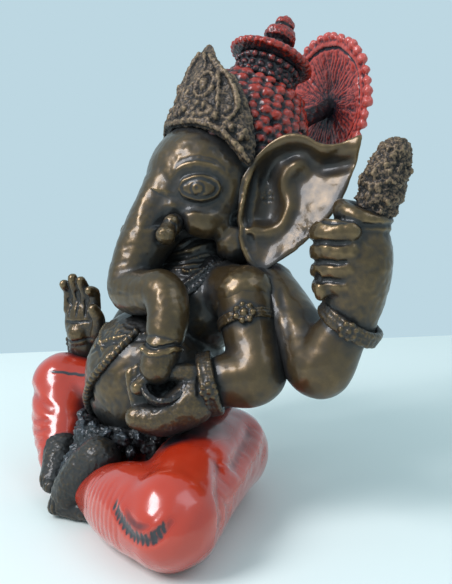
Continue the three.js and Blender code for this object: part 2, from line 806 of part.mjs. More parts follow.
const idol = new THREE.Group();
const grown = new Map();
for (const name of order) {
  let made = shapes[name](0);
  for (const earlier of grown.values()) {
    if (near(made, earlier)) made = made.subtract(earlier);
  }
  made = biggest(made);
  grown.set(name, name === "bowl" ? bowlFilled(GLUE_GAP) : shapes[name](GLUE_GAP));
  const finish = name in dowels ? "steel" : (finishes[name] ?? BRONZE);
  const mesh = new THREE.Mesh(geometryOf(made), paint[finish]);
  mesh.name = name;
  idol.add(mesh);
}

export default idol;
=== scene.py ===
import math

import bmesh
import bpy
import numpy as np
from mathutils import Matrix, Vector, noise
from mathutils.bvhtree import BVHTree


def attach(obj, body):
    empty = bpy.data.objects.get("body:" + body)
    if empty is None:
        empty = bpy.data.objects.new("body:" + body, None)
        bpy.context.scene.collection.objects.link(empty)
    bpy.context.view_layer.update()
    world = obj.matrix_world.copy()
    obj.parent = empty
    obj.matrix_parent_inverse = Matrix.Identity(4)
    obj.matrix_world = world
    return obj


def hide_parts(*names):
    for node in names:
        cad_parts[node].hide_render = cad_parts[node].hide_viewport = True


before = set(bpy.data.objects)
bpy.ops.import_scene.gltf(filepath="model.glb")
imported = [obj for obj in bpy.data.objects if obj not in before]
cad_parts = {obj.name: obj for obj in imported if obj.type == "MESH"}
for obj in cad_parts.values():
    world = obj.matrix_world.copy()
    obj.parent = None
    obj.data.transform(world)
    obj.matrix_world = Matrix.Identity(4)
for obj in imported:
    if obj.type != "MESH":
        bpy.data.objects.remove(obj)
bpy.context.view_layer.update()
MM = 0.001
FULL_TURN = 2 * math.pi
NEARLY_ROUND = 6.28  # radians: a ring or a scatter of lumps that may stop just short of a full turn
chance = np.random.default_rng(7)
print("CAD nodes:", len(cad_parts))


# %% [markdown]
# Points and curves. A stroke or a limb is given by a few points, and a Catmull-Rom curve through them
# gives the rest, so that no long list of points is ever typed in.
# %% points and curves
def V(*p):
    return Vector(p[0]) if len(p) == 1 else Vector(p)


def on_side(p, side):
    """The same point on the figure's left (1), or mirrored to its right (-1)."""
    return V(p.x * side, p.y, p.z)


def mirror(p):
    return on_side(p, -1)


def about(centre, *offsets):
    """Points given by their offsets from a centre."""
    return [centre + V(p) for p in offsets]


def all_round(points):
    """Angles spread evenly round a circle, with the first one given again at the end."""
    return np.linspace(0, FULL_TURN, points)


def smooth_path(points, step=1.0):
    """Points about a step apart on a Catmull-Rom curve through the given ones, as an array."""
    p = np.array([tuple(q) for q in points], float)
    p = np.vstack([2 * p[0] - p[1], p, 2 * p[-1] - p[-2]])
    out = []
    for a, b, c, d in zip(p, p[1:], p[2:], p[3:]):
        n = max(2, int(np.linalg.norm(c[:3] - b[:3]) / step))
        t = np.linspace(0, 1, n, endpoint=False)[:, None]
        bend = (2 * a - 5 * b + 4 * c - d) * t**2 + (3 * b - a - 3 * c + d) * t**3
        out.append(0.5 * (2 * b + (c - a) * t + bend))
    return np.vstack(out + [p[-2:-1]])


def ridge(a, b, path, width):
    """A smooth bump, 1 on a flat path and 0 a width away from it."""
    gap = min(math.hypot(a - x, b - y) for x, y in path)
    return max(0.0, 1 - (gap / width) ** 2) ** 2


def pellet(fine, cache={}):
    """A unit ball as triangles: the pellet of clay that everything is pressed from."""
    if fine not in cache:
        bm = bmesh.new()
        bmesh.ops.create_uvsphere(bm, u_segments=fine, v_segments=fine * 2 // 3, radius=1)
        bmesh.ops.triangulate(bm, faces=bm.faces)
        bm.verts.index_update()
        points = np.array([v.co for v in bm.verts])
        cache[fine] = points, np.array([[v.index for v in f.verts] for f in bm.faces])
        bm.free()
    return cache[fine]


print("a pellet has", len(pellet(20)[1]), "triangles")


# %% [markdown]
# A piece of clay. It starts as overlapping pellets, leaves and turned shapes, is fused into one skin by
# a voxel remesh, and is then sculpted by moving that skin along its normals near a stroke. This is how
# a figure is built in a sculpting program, written down so that it can be repeated. First comes what is
# pressed together.
# %% pressing clay together
class Pressed:
    """Overlapping closed shapes, not yet one skin."""

    def __init__(self, name):
        self.name = name
        self.bm = bmesh.new()
        self.points, self.faces, self.used = [], [], 0

    def ball(self, centre, radii, turn=None, fine=24):
        """Presses one pellet on: radii in mm along X, Y and Z, or one radius, turned by a matrix."""
        points, faces = pellet(fine)
        points = points * (np.ones(3) * radii)
        if turn is not None:
            points = points @ np.array(turn.to_3x3()).T
        self.points.append(points + np.array(tuple(centre)))
        self.faces.append(faces + self.used)
        self.used += len(points)
        return self

    def limb(self, points, radii, flat=(1, 1, 1), turn=None, fine=20):
        """Balls strung along a curve, close enough to fuse into a limb. points are (x, y, z)."""
        r = np.interp(np.linspace(0, 1, len(points)), np.linspace(0, 1, len(radii)), radii)
        path = smooth_path([(*p, q) for p, q in zip(points, r)], step=max(0.4, min(radii) * 0.14))
        fine = fine if max(radii) < 8 else 36
        for x, y, z, q in path:
            self.ball((x, y, z), tuple(q * f for f in flat), turn, fine)
        return self

    def ring(self, centre, axis, radius, wire, fine=12, spacing=0.45, lift=0.0):
        """Balls strung round a circle. A spacing over 1 leaves them as beads."""
        turn = V(0, 0, 1).rotation_difference(V(axis)).to_matrix()
        steps = int(FULL_TURN * radius / (wire * spacing))
        for k in range(steps):
            a = k * FULL_TURN / steps
            self.ball(V(centre) + turn @ V(radius * math.cos(a), radius * math.sin(a), lift), wire, fine=fine)
        return self

    def turned(self, profile, base, up, steps=72):
        """A lathe-turned solid: (radius, height) pairs spun about an axis."""
        placed = Matrix.Translation(V(base)) @ V(0, 0, 1).rotation_difference(V(up)).to_matrix().to_4x4()
        verts = [self.bm.verts.new((r, 0, h)) for r, h in profile]
        edges = [self.bm.edges.new(pair) for pair in zip(verts, verts[1:])]
        about_z = {"cent": (0, 0, 0), "axis": (0, 0, 1), "angle": FULL_TURN}
        bmesh.ops.spin(self.bm, geom=verts + edges, steps=steps, use_merge=True, **about_z)
        found, stack = set(), list(verts)
        while stack:
            v = stack.pop()
            if v not in found:
                found.add(v)
                stack.extend(e.other_vert(v) for e in v.link_edges)
        bmesh.ops.transform(self.bm, matrix=placed, verts=list(found))
        bmesh.ops.remove_doubles(self.bm, verts=list(found), dist=1e-3)
        return self

    def leaf(self, outline, middle, thickness, cup, place, side=1, around=128, rings=56):
        """A thick leaf: a ball whose equator follows the outline, flattened, cupped and put in place."""
        rim = smooth_path([(*p, 0) for p in outline[-2:] + outline + outline[:3]], 0.4)[:, :2]
        first = np.argmin(np.linalg.norm(rim[: len(rim) // 3] - outline[0], axis=1))
        last = len(rim) // 2 + np.argmin(np.linalg.norm(rim[len(rim) // 2 :] - outline[0], axis=1))
        rim = rim[first:last]
        ball = bmesh.ops.create_uvsphere(self.bm, u_segments=around, v_segments=rings, radius=1)
        for v in ball["verts"]:
            reach = min(1.0, math.hypot(v.co.x, v.co.y)) ** 0.7
            share = (math.atan2(v.co.y, v.co.x) / FULL_TURN) % 1.0
            edge = rim[int(share * len(rim)) % len(rim)]
            a = middle[0] + (edge[0] - middle[0]) * reach
            b = middle[1] + (edge[1] - middle[1]) * reach
            p = place(a, b, v.co.z * thickness / 2 + cup(a, b, reach))
            v.co = (p.x * side, p.y, p.z)
        return self


print("ways to press clay:", [name for name in vars(Pressed) if name[0] != "_"])


# %% [markdown]
# Fusing. A voxel remesh closes everything pressed so far into one skin of even quads. The skin is kept
# as an array of points, because relaxing it means moving every point towards its neighbours many times,
# and an array does that a thousand times faster than a loop over vertices.
# %% one skin
class Fused(Pressed):
    """One closed skin, which can be relaxed."""

    def fuse(self, voxel=0.7, soften=3):
        """One closed skin around everything so far."""
        if self.points:
            pressed = bpy.data.meshes.new(self.name)
            pressed.from_pydata(np.vstack(self.points), [], np.vstack(self.faces))
            self.bm.from_mesh(pressed)
        mesh = bpy.data.meshes.new(self.name)
        self.bm.to_mesh(mesh)
        self.bm.free()
        self.obj = bpy.data.objects.new(self.name, mesh)
        bpy.context.scene.collection.objects.link(self.obj)
        remesh = self.obj.modifiers.new("fuse", "REMESH")
        remesh.mode = "VOXEL"
        remesh.voxel_size = voxel * 1
        bpy.context.view_layer.update()
        fused = bpy.data.meshes.new_from_object(self.obj.evaluated_get(bpy.context.evaluated_depsgraph_get()))
        self.obj.modifiers.clear()
        self.obj.data = fused
        return self.read().relax(soften)

    def read(self):
        mesh = self.obj.data
        self.co = np.empty(len(mesh.vertices) * 3)
        mesh.vertices.foreach_get("co", self.co)
        self.co = self.co.reshape(-1, 3)
        self.edges = np.empty(len(mesh.edges) * 2, int)
        mesh.edges.foreach_get("vertices", self.edges)
        self.edges = self.edges.reshape(-1, 2)
        self.count = np.bincount(self.edges.ravel(), minlength=len(self.co))[:, None]
        self.stain_and_shade = np.zeros(len(self.co))
        return self

    def average(self, value):
        a, b = self.edges.T
        total = np.empty_like(value)
        for k in range(value.shape[1]):
            total[:, k] = np.bincount(a, value[b, k], len(value)) + np.bincount(b, value[a, k], len(value))
        return total / self.count

    def relax(self, rounds, amount=0.5, where=None):
        for _ in range(rounds):
            change = (self.average(self.co) - self.co) * amount
            self.co += change if where is None else change * where[:, None]
        return self

    def normals(self):
        self.obj.data.vertices.foreach_set("co", self.co.ravel())
        self.obj.data.update()
        n = np.empty(len(self.co) * 3)
        self.obj.data.vertex_normals.foreach_get("vector", n)
        return n.reshape(-1, 3)




# %% [markdown]
# Sculpting. A stroke raises or cuts the skin along a path, a dent does so round a point, and grain and
# warts roughen it. A stroke can leave a stain as well, which darkens the paint later: dark wash in cut
# lines, and painted shade where it marks a hollow or an overhang.
# %% sculpting the skin
class Sculpted(Fused):
    """A skin that takes strokes, dents, grain and warts."""

    def distance(self, path):
        """How far each vertex is from a stroke, and how far along the stroke its nearest point lies."""
        path = np.asarray(path, float)
        low, high = path.min(0) - 16, path.max(0) + 16
        near = np.nonzero(((self.co > low) & (self.co < high)).all(1))[0]
        best, along = np.full(len(self.co), 1e9), np.zeros(len(self.co))
        start = 0.0
        for a, b in zip(path, path[1:]):
            d = b - a
            length = np.linalg.norm(d) or 1e-9
            t = np.clip((self.co[near] - a) @ d / length**2, 0, 1)
            gap = np.linalg.norm(self.co[near] - a - t[:, None] * d, axis=1)
            closer = gap < best[near]
            best[near[closer]], along[near[closer]] = gap[closer], start + t[closer] * length
            start += length
        return best, along, start

    def cling(self, path):
        """A path laid onto the skin: each point goes to the nearest vertex."""
        path = np.atleast_2d(np.array([tuple(p) for p in path], float))
        return np.array([self.co[np.argmin(((self.co - p) ** 2).sum(1))] for p in path])

    def stroke(self, points, width, height, twist=0, taper=0.15, soft=2, stain_and_shade=0.0, lay=True):
        """Raises a line, or cuts it with a negative height. twist cuts it into beads that far apart."""
        path = smooth_path(points, 1.2) if len(points) > 1 else np.array([tuple(p) for p in points], float)
        if lay:
            path = self.cling(path)
        if len(path) == 1:
            path = np.vstack([path, path + 1e-4])
        gap, along, length = self.distance(path)
        fall = np.clip(1 - (gap / width) ** 2, 0, 1) ** soft
        if taper and length > 1:
            fall *= np.clip(np.minimum(along, length - along) / (taper * length) + 0.25, 0, 1)
        # the stain map darkens the paint: wash in cut lines, painted shade in hollows and under overhangs
        self.stain_and_shade += fall * stain_and_shade
        if twist:
            fall *= 0.3 + 0.7 * np.abs(np.sin(along * math.pi / twist))
        self.co += self.normals() * (fall * height)[:, None]
        return self

    def dent(self, centre, radius, height, stain_and_shade=0.0):
        return self.stroke([centre], radius, height, taper=0, stain_and_shade=stain_and_shade)

    def grain(self, size, height, where=None, rough=0.5, seed=0):
        """Cast-in roughness: fractal noise along the normal."""
        n = self.normals()
        at = self.co / size + (seed, 0, 0)
        lift = np.array([noise.fractal(Vector(p), 1 - rough, 2.0, 4) for p in at])
        self.co += n * (lift * height * (1 if where is None else where))[:, None]
        return self

    def warts(self, size, height, where=None, seed=0):
        """Pebbly roughness: rounded cells."""
        n = self.normals()
        at = self.co / size + (seed, 0, 0)
        lift = np.array([0.5 - noise.voronoi(Vector(p))[0][0] for p in at])
        self.co += n * (lift * height * (1 if where is None else where))[:, None]
        return self

    def within(self, centre, radius, soft=4):
        gap = np.linalg.norm(self.co - np.array(tuple(centre), float), axis=1)
        return np.clip((radius - gap) / soft + 0.5, 0, 1)

    def flat_foot(self):
        """Nothing reaches below the table."""
        self.co[:, 2] = np.maximum(self.co[:, 2], 0)
        return self


print("ways to sculpt:", [name for name in vars(Sculpted) if name[0] != "_"])


# %% [markdown]
# Finishing. How sunken each point lies, against a lightly and against a strongly smoothed copy of the
# skin, is stored on the casting as two maps for the paint. The casting then goes from millimetres to
# metres, gets its material, and takes the place of its CAD node on the idol's one body.
# %% a finished casting
class Clay(Sculpted):
    """A piece of clay from its first pellet to the painted casting."""

    def hollows(self):
        """How sunken each vertex is, from -1 in a groove to 1 on an edge, at a fine and a broad scale."""
        n, flat, out = self.normals(), self.co.copy(), []
        for rounds, scale in ((4, 0.12), (30, 0.8)):
            for _ in range(rounds):
                flat += (self.average(flat) - flat) * 0.6
            out.append(np.clip(((self.co - flat) * n).sum(1) / scale, -1, 1))
        return out

    def done(self, material, slot, *nodes):
        """The finished casting: metres, smooth shading, its wash and painted-shade maps, its material and its place.
        """
        fine, broad = self.hollows()
        mesh = self.obj.data
        for key, value in (("fine", fine), ("broad", broad), ("stain_and_shade", np.clip(self.stain_and_shade, 0, 1))):
            mesh.attributes.new(key, "FLOAT", "POINT").data.foreach_set("value", value.astype(np.float32))
        mesh.vertices.foreach_set("co", (self.co * MM).ravel())
        mesh.update()
        mesh.shade_smooth()
        mesh.materials.clear()
        mesh.materials.append(material)
        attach(self.obj, "root")
        if nodes:
            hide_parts(*nodes)
        castings.append(self)
        print(f"{self.name}: {len(mesh.polygons)} faces")
        return self.obj


castings = []
print("a casting is built in", len(Clay.__mro__) - 1, "stages")

# %% [markdown]
# Colour. Paint-chart colours are sRGB hex codes and the shader wants linear light, so one function
# turns them. One small function adds a shader node, fills in its settings and joins its links.
# %% colour and nodes
def linear(hexcode):
    c = [int(hexcode[i : i + 2], 16) / 255 for i in (1, 3, 5)]
    return (*[x / 12.92 if x <= 0.04045 else ((x + 0.055) / 1.055) ** 2.4 for x in c], 1)


def add_node(tree, kind, links=None, stops=(), **settings):
    """A shader node. A link that is a socket is joined, any other value is set on the input."""
    node = tree.nodes.new(kind)
    for key, value in settings.items():
        setattr(node, key, value)
    for key, value in (links or {}).items():
        if isinstance(value, bpy.types.NodeSocket):
            tree.links.new(value, node.inputs[key])
        else:
            node.inputs[key].default_value = value
    for k, (at, value) in enumerate(stops):
        elements = node.color_ramp.elements
        element = elements[k] if k < 2 else elements.new(at)
        element.position = at
        element.color = linear(value) if isinstance(value, str) else (value, value, value, 1)
    return node


print("lacquer red in linear light:", [round(x, 3) for x in linear("#c0321a")])


# %% [markdown]
# Paint. Every finish is one recipe. The casting carries four maps on its skin: how sunken it is at a
# fine and at a broad scale, how sheltered it is by its neighbours, and where wash was brushed on or shade
# painted in. Where these say "deep" the dark wash stays and shade is painted in, darkest in broad hollows
# and between parts, and where they say "proud" the paint is rubbed thin and bright.
# Blotches of 3 to 14 mm and specks of 0.4 mm break it up, as they do in paint put on with a dry brush.
# %% the paint recipe
SPECK = 0.4
RELIEF = 0.4 * MM


def paint(name, stops, rough, metal, coat, blotch=6, relief=0.35, depth=0.0, uneven=0.9, shade=0.55):
    """stops: wash, body, rubbed. depth moves the wash up the slopes. blotch is in mm."""
    material = bpy.data.materials.new(name)
    material.use_nodes = True
    tree = material.node_tree
    shader = tree.nodes["Principled BSDF"]
    maths = "ShaderNodeMath"
    where = add_node(tree, "ShaderNodeTexCoord").outputs["Object"]
    maps = {}
    for key in ("fine", "broad", "shade_and_wash", "stain_and_shade"):
        maps[key] = add_node(tree, "ShaderNodeAttribute", attribute_name=key).outputs["Fac"]
    noise_size = {"Vector": where, "Scale": 1000 / blotch, "Detail": 7, "Roughness": 0.62}
    clouds = add_node(tree, "ShaderNodeTexNoise", noise_size).outputs["Fac"]
    speck_size = {"Vector": where, "Scale": 1000 / SPECK, "Detail": 4}
    specks = add_node(tree, "ShaderNodeTexNoise", speck_size).outputs["Fac"]
    # the broad hollows, the shelter map and the stain map darken the colour: wash, plus painted shade in hollows and
    # between parts
    parts = ((maps["fine"], 0.2), (maps["broad"], 0.2), (maps["shade_and_wash"], -shade), (maps["stain_and_shade"], -0.6))
    level = 0.5 - depth
    for source, share in parts + ((clouds, uneven * 0.5), (specks, uneven * 0.28)):
        links = {0: source, 1: share, 2: level}
        level = add_node(tree, maths, links, operation="MULTIPLY_ADD").outputs[0]
    average = {0: level, 1: uneven * 0.39}
    level = add_node(tree, maths, average, operation="SUBTRACT", use_clamp=True).outputs[0]
    dull = ((0.15, min(1, rough + 0.3)), (0.45, rough), (0.9, max(0.08, rough - 0.1)))
    ramps = {"Base Color": stops, "Roughness": dull}
    if metal:
        ramps["Metallic"] = ((0.15, 0.0), (0.5, metal))
    for socket, ramp in ramps.items():
        chosen = add_node(tree, "ShaderNodeValToRGB", {"Fac": level}, ramp)
        tree.links.new(chosen.outputs["Color"], shader.inputs[socket])
    shader.inputs["Coat Weight"].default_value = coat
    shader.inputs["Coat Roughness"].default_value = 0.1
    skin = add_node(tree, maths, {0: specks, 1: 0.5, 2: clouds}, operation="MULTIPLY_ADD").outputs[0]
    bump = add_node(tree, "ShaderNodeBump", {"Strength": relief, "Distance": RELIEF, "Height": skin})
    tree.links.new(bump.outputs["Normal"], shader.inputs["Normal"])
    return material


print("a speck is", SPECK, "mm wide")

# %% [markdown]
# The finishes. The body has bronze powder paint over black, so it is metallic where it is rubbed and
# dull in its folds. The lacquers are not metallic and have a clear coat, thickest and glossiest on the
# legs. The tiara and what the rear hands hold were never smoothed, so their paint is dull and broken.
# %% finishes
BRONZE = ((0.1, "#0a0807"), (0.3, "#2b2218"), (0.52, "#5a4830"), (0.72, "#7a6241"), (0.98, "#a88a58"))
cover = {"blotch": 5, "relief": 0.12, "uneven": 0.32, "shade": 0.75, "depth": 0.045}
bronze = paint("antique_bronze_paint_on_resin", BRONZE, 0.33, 0.7, 0.3, **cover)
BLACKENED = ((0.2, "#08080a"), (0.5, "#1f1d1f"), (0.75, "#4b3f30"), (0.95, "#8c6d42"))
blackened = paint("blackened_bronze_paint", BLACKENED, 0.36, 0.5, 0.3, blotch=3, relief=0.3, uneven=0.5)
CRUMBLY = ((0.14, "#0e0a0a"), (0.36, "#33281f"), (0.6, "#5f4c3a"), (0.95, "#8f7657"))
rough_bronze = paint("rough_cast_bronze_paint", CRUMBLY, 0.55, 0.35, 0.1, blotch=3, relief=0.7, uneven=0.6)
RED = ((0.08, "#120c18"), (0.24, "#6f160c"), (0.42, "#ae2a10"), (0.8, "#be3719"))
lacquer = paint("red_lacquer_on_resin", RED, 0.26, 0.0, 0.8, blotch=14, relief=0.05, uneven=0.16, shade=0.45)
CROWN_RED = ((0.2, "#0e0914"), (0.38, "#450c07"), (0.56, "#8c1c0b"), (0.92, "#b0321a"))
crown_red = paint("red_lacquer_under_dark_wash", CROWN_RED, 0.36, 0.0, 0.3, blotch=5, relief=0.15, uneven=0.5)
HALO_RED = ((0.12, "#171022"), (0.34, "#6f1f20"), (0.52, "#b03a30"), (0.9, "#c4544a"))
thin_coat = "thin_red_lacquer_brushed_with_wash"
halo_red = paint(thin_coat, HALO_RED, 0.42, 0.0, 0.3, blotch=6, relief=0.2, uneven=0.45)
SLATE = ((0.15, "#06070a"), (0.5, "#171a1f"), (0.74, "#323840"), (0.95, "#6f6a60"))
dark = paint("black_wash_over_bronze", SLATE, 0.42, 0.3, 0.3, blotch=3, relief=0.5, uneven=0.6)
print("finishes:", len(bpy.data.materials))

# %% [markdown]
# The dowels that pin the castings together are ground steel, and nothing shows but their ends, so
# they keep their CAD shape. Grinding leaves fine lines round the pin, a quarter of a millimetre apart.
# %% steel dowels
GRINDING = 0.25
steel = bpy.data.materials.new("ground_steel_dowel")
steel.use_nodes = True
tree = steel.node_tree
shader = tree.nodes["Principled BSDF"]
shader.inputs["Metallic"].default_value = 1
shader.inputs["Base Color"].default_value = linear("#b9bbbd")
where = add_node(tree, "ShaderNodeTexCoord").outputs["Object"]
lines = add_node(tree, "ShaderNodeTexNoise", {"Vector": where, "Scale": 1000 / GRINDING, "Detail": 2}).outputs["Fac"]
smear = add_node(tree, "ShaderNodeValToRGB", {"Fac": lines}, ((0.3, 0.22), (0.7, 0.4)))
tree.links.new(smear.outputs["Color"], shader.inputs["Roughness"])
for name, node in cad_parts.items():
    if name.endswith("dowel"):
        node.data.materials.clear()
        node.data.materials.append(steel)
print("dowels:", sum(name.endswith("dowel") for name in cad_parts))

# %% [markdown]
# The skeleton: where the joints of the figure lie. It faces -Y, its own left hand is at +X, and it leans
# back, so that everything above the lap is carried behind the feet.
# %% skeleton
BELLY = V(0, -4, 50)
CHEST = V(0, 13.5, 79.1)
HEAD = V(0, 23.2, 129.2)
SHOULDER = V(35, 18.5, 86.1)
REAR_SHOULDER = V(32, 31.5, 87.1)
ARMS = {
    "left": (SHOULDER, V(50, 14, 59.1), V(41, -0.5, 55.1)),
    "right": (mirror(SHOULDER), V(-51, 4.5, 54.1), V(-46, -15.5, 58.1)),
    "rear_left": (REAR_SHOULDER, V(67, 30, 62.5), V(76, 36.5, 80.1)),
    "rear_right": (mirror(REAR_SHOULDER), V(-66, 32, 62.5), V(-72, 39.5, 81.1)),
}
LEFT_KNEE, RIGHT_KNEE = V(63, -27, 17.5), V(-48, -26, 38.5)
LEAN = math.radians(24)
CROWN_UP = V(0, math.sin(LEAN), math.cos(LEAN))
CROWN_FRONT = V(0, -math.cos(LEAN), math.sin(LEAN))
CROWN = V(0, 37.5, 143.5)


def on_crown(height, radius, turn):
    """A point at a height up the crown's axis, a radius out from it and turned from front to left."""
    side = CROWN_FRONT * math.cos(turn) + V(1, 0, 0) * math.sin(turn)
    return CROWN + CROWN_UP * height + side * radius


def on_belly(turn, lift, out=1.0):
    """A point on the belly, turned from the front to the left, at a height above its middle."""
    shrink = math.sqrt(1 - (lift / 29) ** 2) * out
    return BELLY + V(math.sin(turn) * 30 * shrink, -math.cos(turn) * 28 * shrink, lift)


print("from heel to crown root:", round((CROWN - V(0, -40, 0)).length), "mm")

# %% [markdown]
# Torso. The belly, chest and four shoulders are balls pressed together. A hand-modelled surface is never
# true, so a slow wobble of about half a millimetre goes over it, and then the worked detail: a collar of
# engraved rows, a bead string lying on the belly, a patch of stippling above it, and the navel.
# %% torso
torso = Clay("torso_casting")
torso.ball(BELLY, (30, 28, 29), fine=48).ball(BELLY + V(0, 12, -6), (27, 24, 26), fine=48)
torso.ball(CHEST, (29, 20, 23), fine=48).ball(CHEST + V(0, 4, 22), (16, 15, 12))
torso.limb([SHOULDER, mirror(SHOULDER)], [12, 12]).limb([REAR_SHOULDER, mirror(REAR_SHOULDER)], [12, 12])
torso.fuse(0.62, 16).grain(18, 0.45, seed=3).grain(3.5, 0.05, seed=4)
for side in (1, -1):
    beads = [(-0.15, 14.5), (0.2, 18.5), (0.55, 20.5), (0.9, 21.5), (1.4, 20)]
    torso.stroke([on_belly(side * a, b) for a, b in beads], 1.4, 1.1, twist=1.9, taper=0)
    torso.stroke([on_belly(side * a, b - 2) for a, b in beads], 1.4, -0.4, taper=0, stain_and_shade=0.4)
    for row, (out, lift) in enumerate(((10, 24), (13, 21.5), (16.5, 18.5), (20, 15.5), (23, 12.5))):
        collar = []
        for s, u in ((0.1, 0), (0.7, 0.3), (1, 1)):
            collar.append(CHEST + V(side * out * s, 10 * u - 14 * (1 - u), lift + 5 * u))
        torso.stroke(collar, 1.3, 0.6 if row < 4 else 1.7, twist=(1.3, 0)[row % 2], taper=0)
        torso.stroke([p + V(0, 0, -1.6) for p in collar], 1.1, -0.4, taper=0, stain_and_shade=0.45)
stippled = torso.within(on_belly(0.35, 22), 9, 5)
torso.warts(1.7, 0.9, stippled).dent(on_belly(0, -4), 3.2, -2.2, stain_and_shade=0.9)
# painted shade: the band where the belly overhangs the lap is stained nearly black
torso.stroke([on_belly(a, -22) for a in (-1.3, -0.6, 0, 0.6, 1.3)], 5.0, -1.2, taper=0, stain_and_shade=0.9)
torso.relax(1, 0.3)
torso.done(bronze, "bronze_paint", "torso")

# %% [markdown]
# The sacred thread runs from the left shoulder across the belly to the right hip, where it is knotted.
# %% sacred thread
thread = Clay("sacred_thread_casting")
ROUTE = ((0.75, 22), (0.5, 15), (0.28, 8), (0.05, 0), (-0.2, -9), (-0.45, -17))
path = [on_belly(turn, lift, 1.02) for turn, lift in ROUTE]
thread.limb(path, [1.7, 2.0, 2.0])
thread.ball(path[-1] + V(0, -0.5, 0), (3.2, 2.6, 3.2)).limb([path[-1], path[-1] + V(-3, 0, -5)], [1.6, 1.4])
thread.fuse(0.35, 2).grain(3, 0.25)
for p in smooth_path(path, 2.2)[:26]:
    thread.stroke([p + V(-2, -1, 1.2), p + V(2, -1, -0.6)], 0.9, -0.22, taper=0, stain_and_shade=0.25)
thread.done(bronze, "rough_bronze_paint", "sacred_thread")

# %% [markdown]
# Lap and legs, in trousers of glossy red lacquer. The knees are full and round, pleats run in to them
# from the hip, fine lines ring the shin, and a curved hem with a hatched fringe is left dark.
# %% legs
def leg(name, bones, radii, shin, shin_radii, seed):
    made = Clay(name).limb(bones, radii).limb(shin, shin_radii)
    return made.fuse(0.66, 24).grain(36, 0.6, seed=seed).relax(10)


lap = Clay("lap_casting").ball((0, 10, 16), (36, 34, 20), fine=48).fuse(0.95, 8).grain(16, 0.5).flat_foot()
lap.done(lacquer, "red_lacquer", "lap")
hip, thigh, ankle = V(22, 17, 20), V(42, -7, 19.5), V(17, -36, 12)
left_leg = leg("left_leg_casting", [hip, thigh, LEFT_KNEE + V(-2, 0, 0)], [18.5, 18, 16.8],
               [LEFT_KNEE + V(0, -2, -1), V(40, -32, 14.5), ankle], [15.5, 15.5, 9], 8)
for a, b in ((V(58, -5, 35), V(72, -12, 25)), (V(34, 25, 34), V(67, -5, 26))):
    left_leg.stroke([a, a.lerp(b, 0.5) + V(3, 3, 3), b, b + V(2, -2, -12)], 5.5, -1.3, stain_and_shade=0.05)
    left_leg.stroke([a + V(5, 6, 0), a.lerp(b, 0.5) + V(8, 9, 3), b + V(5, 6, 0)], 6, 1.0)
hem = [V(53, -45, 23), V(60, -46, 18.5), V(68, -44, 16.5), V(74, -41, 18), V(77, -36, 24)]
left_leg.stroke(hem, 3.0, -0.8, taper=0.3, stain_and_shade=0.5)
left_leg.stroke([p + V(0, 0, 2.6) for p in hem], 2.6, 0.5, stain_and_shade=0.35)
left_leg.stroke([p + V(-1, 0, 4.2) for p in hem[1:4]], 3.4, -0.2, taper=0.4, stain_and_shade=0.42)
for p in smooth_path(hem, 2.0)[:15]:
    left_leg.stroke(about(V(p), (0, -1, 3), (0, -1, -2)), 0.7, -0.4, taper=0.3, stain_and_shade=0.5)
for k in range(9):
    x = 30 + 3.1 * k
    left_leg.stroke([V(x, -44, 30), V(x + 2, -48, 18), V(x + 1, -45, 6)], 1.3, -0.22, taper=0.3, stain_and_shade=0.02)
left_leg.relax(2, 0.4).flat_foot().done(lacquer, "red_lacquer", "left_leg")
right_leg = leg("right_leg_casting", [mirror(hip), V(-36, -6, 30), RIGHT_KNEE], [19, 19, 15],
                [RIGHT_KNEE, V(-36, -31, 26), V(-22, -37, 14)], [14, 14, 9.5], 9)
right_leg.stroke([V(-56, -36, 36), V(-45, -42, 38), V(-34, -40, 35), V(-24, -38, 33)], 3.6, -0.9, stain_and_shade=0.03)
right_leg.stroke([V(-40, -36, 48), V(-34, -30, 48.5), V(-30, -22, 47)], 1.1, -0.3, stain_and_shade=0.9)
for k in range(5):
    z = 31 - 4.4 * k
    around_shin = [V(-48 + 3 * k, -38, z), V(-36 + 2 * k, -46, z - 2), V(-24, -40, z - 1)]
    right_leg.stroke(around_shin, 2.6, -0.5, stain_and_shade=0.06)
right_leg.relax(2, 0.4).flat_foot().done(lacquer, "red_lacquer", "right_leg")

# %% [markdown]
# Feet: soft wedges that run out to a point, soles turned up, with four cuts for the toes.
# %% feet
left_foot = Clay("left_foot_casting").limb([V(16, -35, 25), V(11, -40, 18), V(6.5, -44, 10)], [8.4, 8.2, 6.8])
left_foot.limb([V(6, -44.5, 9), V(4, -47.5, 5), V(2.6, -48.8, 3.4)], [6, 4, 2.6])
left_foot.limb([V(5, -46, 4), V(12, -41, 4.5), V(18, -36, 5)], [3.6, 4.2, 4.2])
right_foot = Clay("right_foot_casting")
right_foot.limb([V(-20, -37, 18), V(-14, -41, 13), V(-10, -45, 10)], [8, 7.2, 5.2])
right_foot.limb([V(-11, -45.5, 9), V(-5, -47.5, 9)], [4.2, 2.8])
for foot, toe, node in ((left_foot, V(4, -50, 5), "left_foot"), (right_foot, V(-8, -50, 8), "right_foot")):
    foot.fuse(0.45, 5).grain(6, 0.4).grain(2.2, 0.08, seed=2)
    for k in range(4):
        foot.stroke([toe + V(-3 + 2 * k, 1, 4), toe + V(-3.4 + 2 * k, 0, -3)], 0.8, -0.5, stain_and_shade=0.4)
    foot.stain_and_shade += 0.4
    foot.flat_foot().done(bronze, "bronze_paint", node)

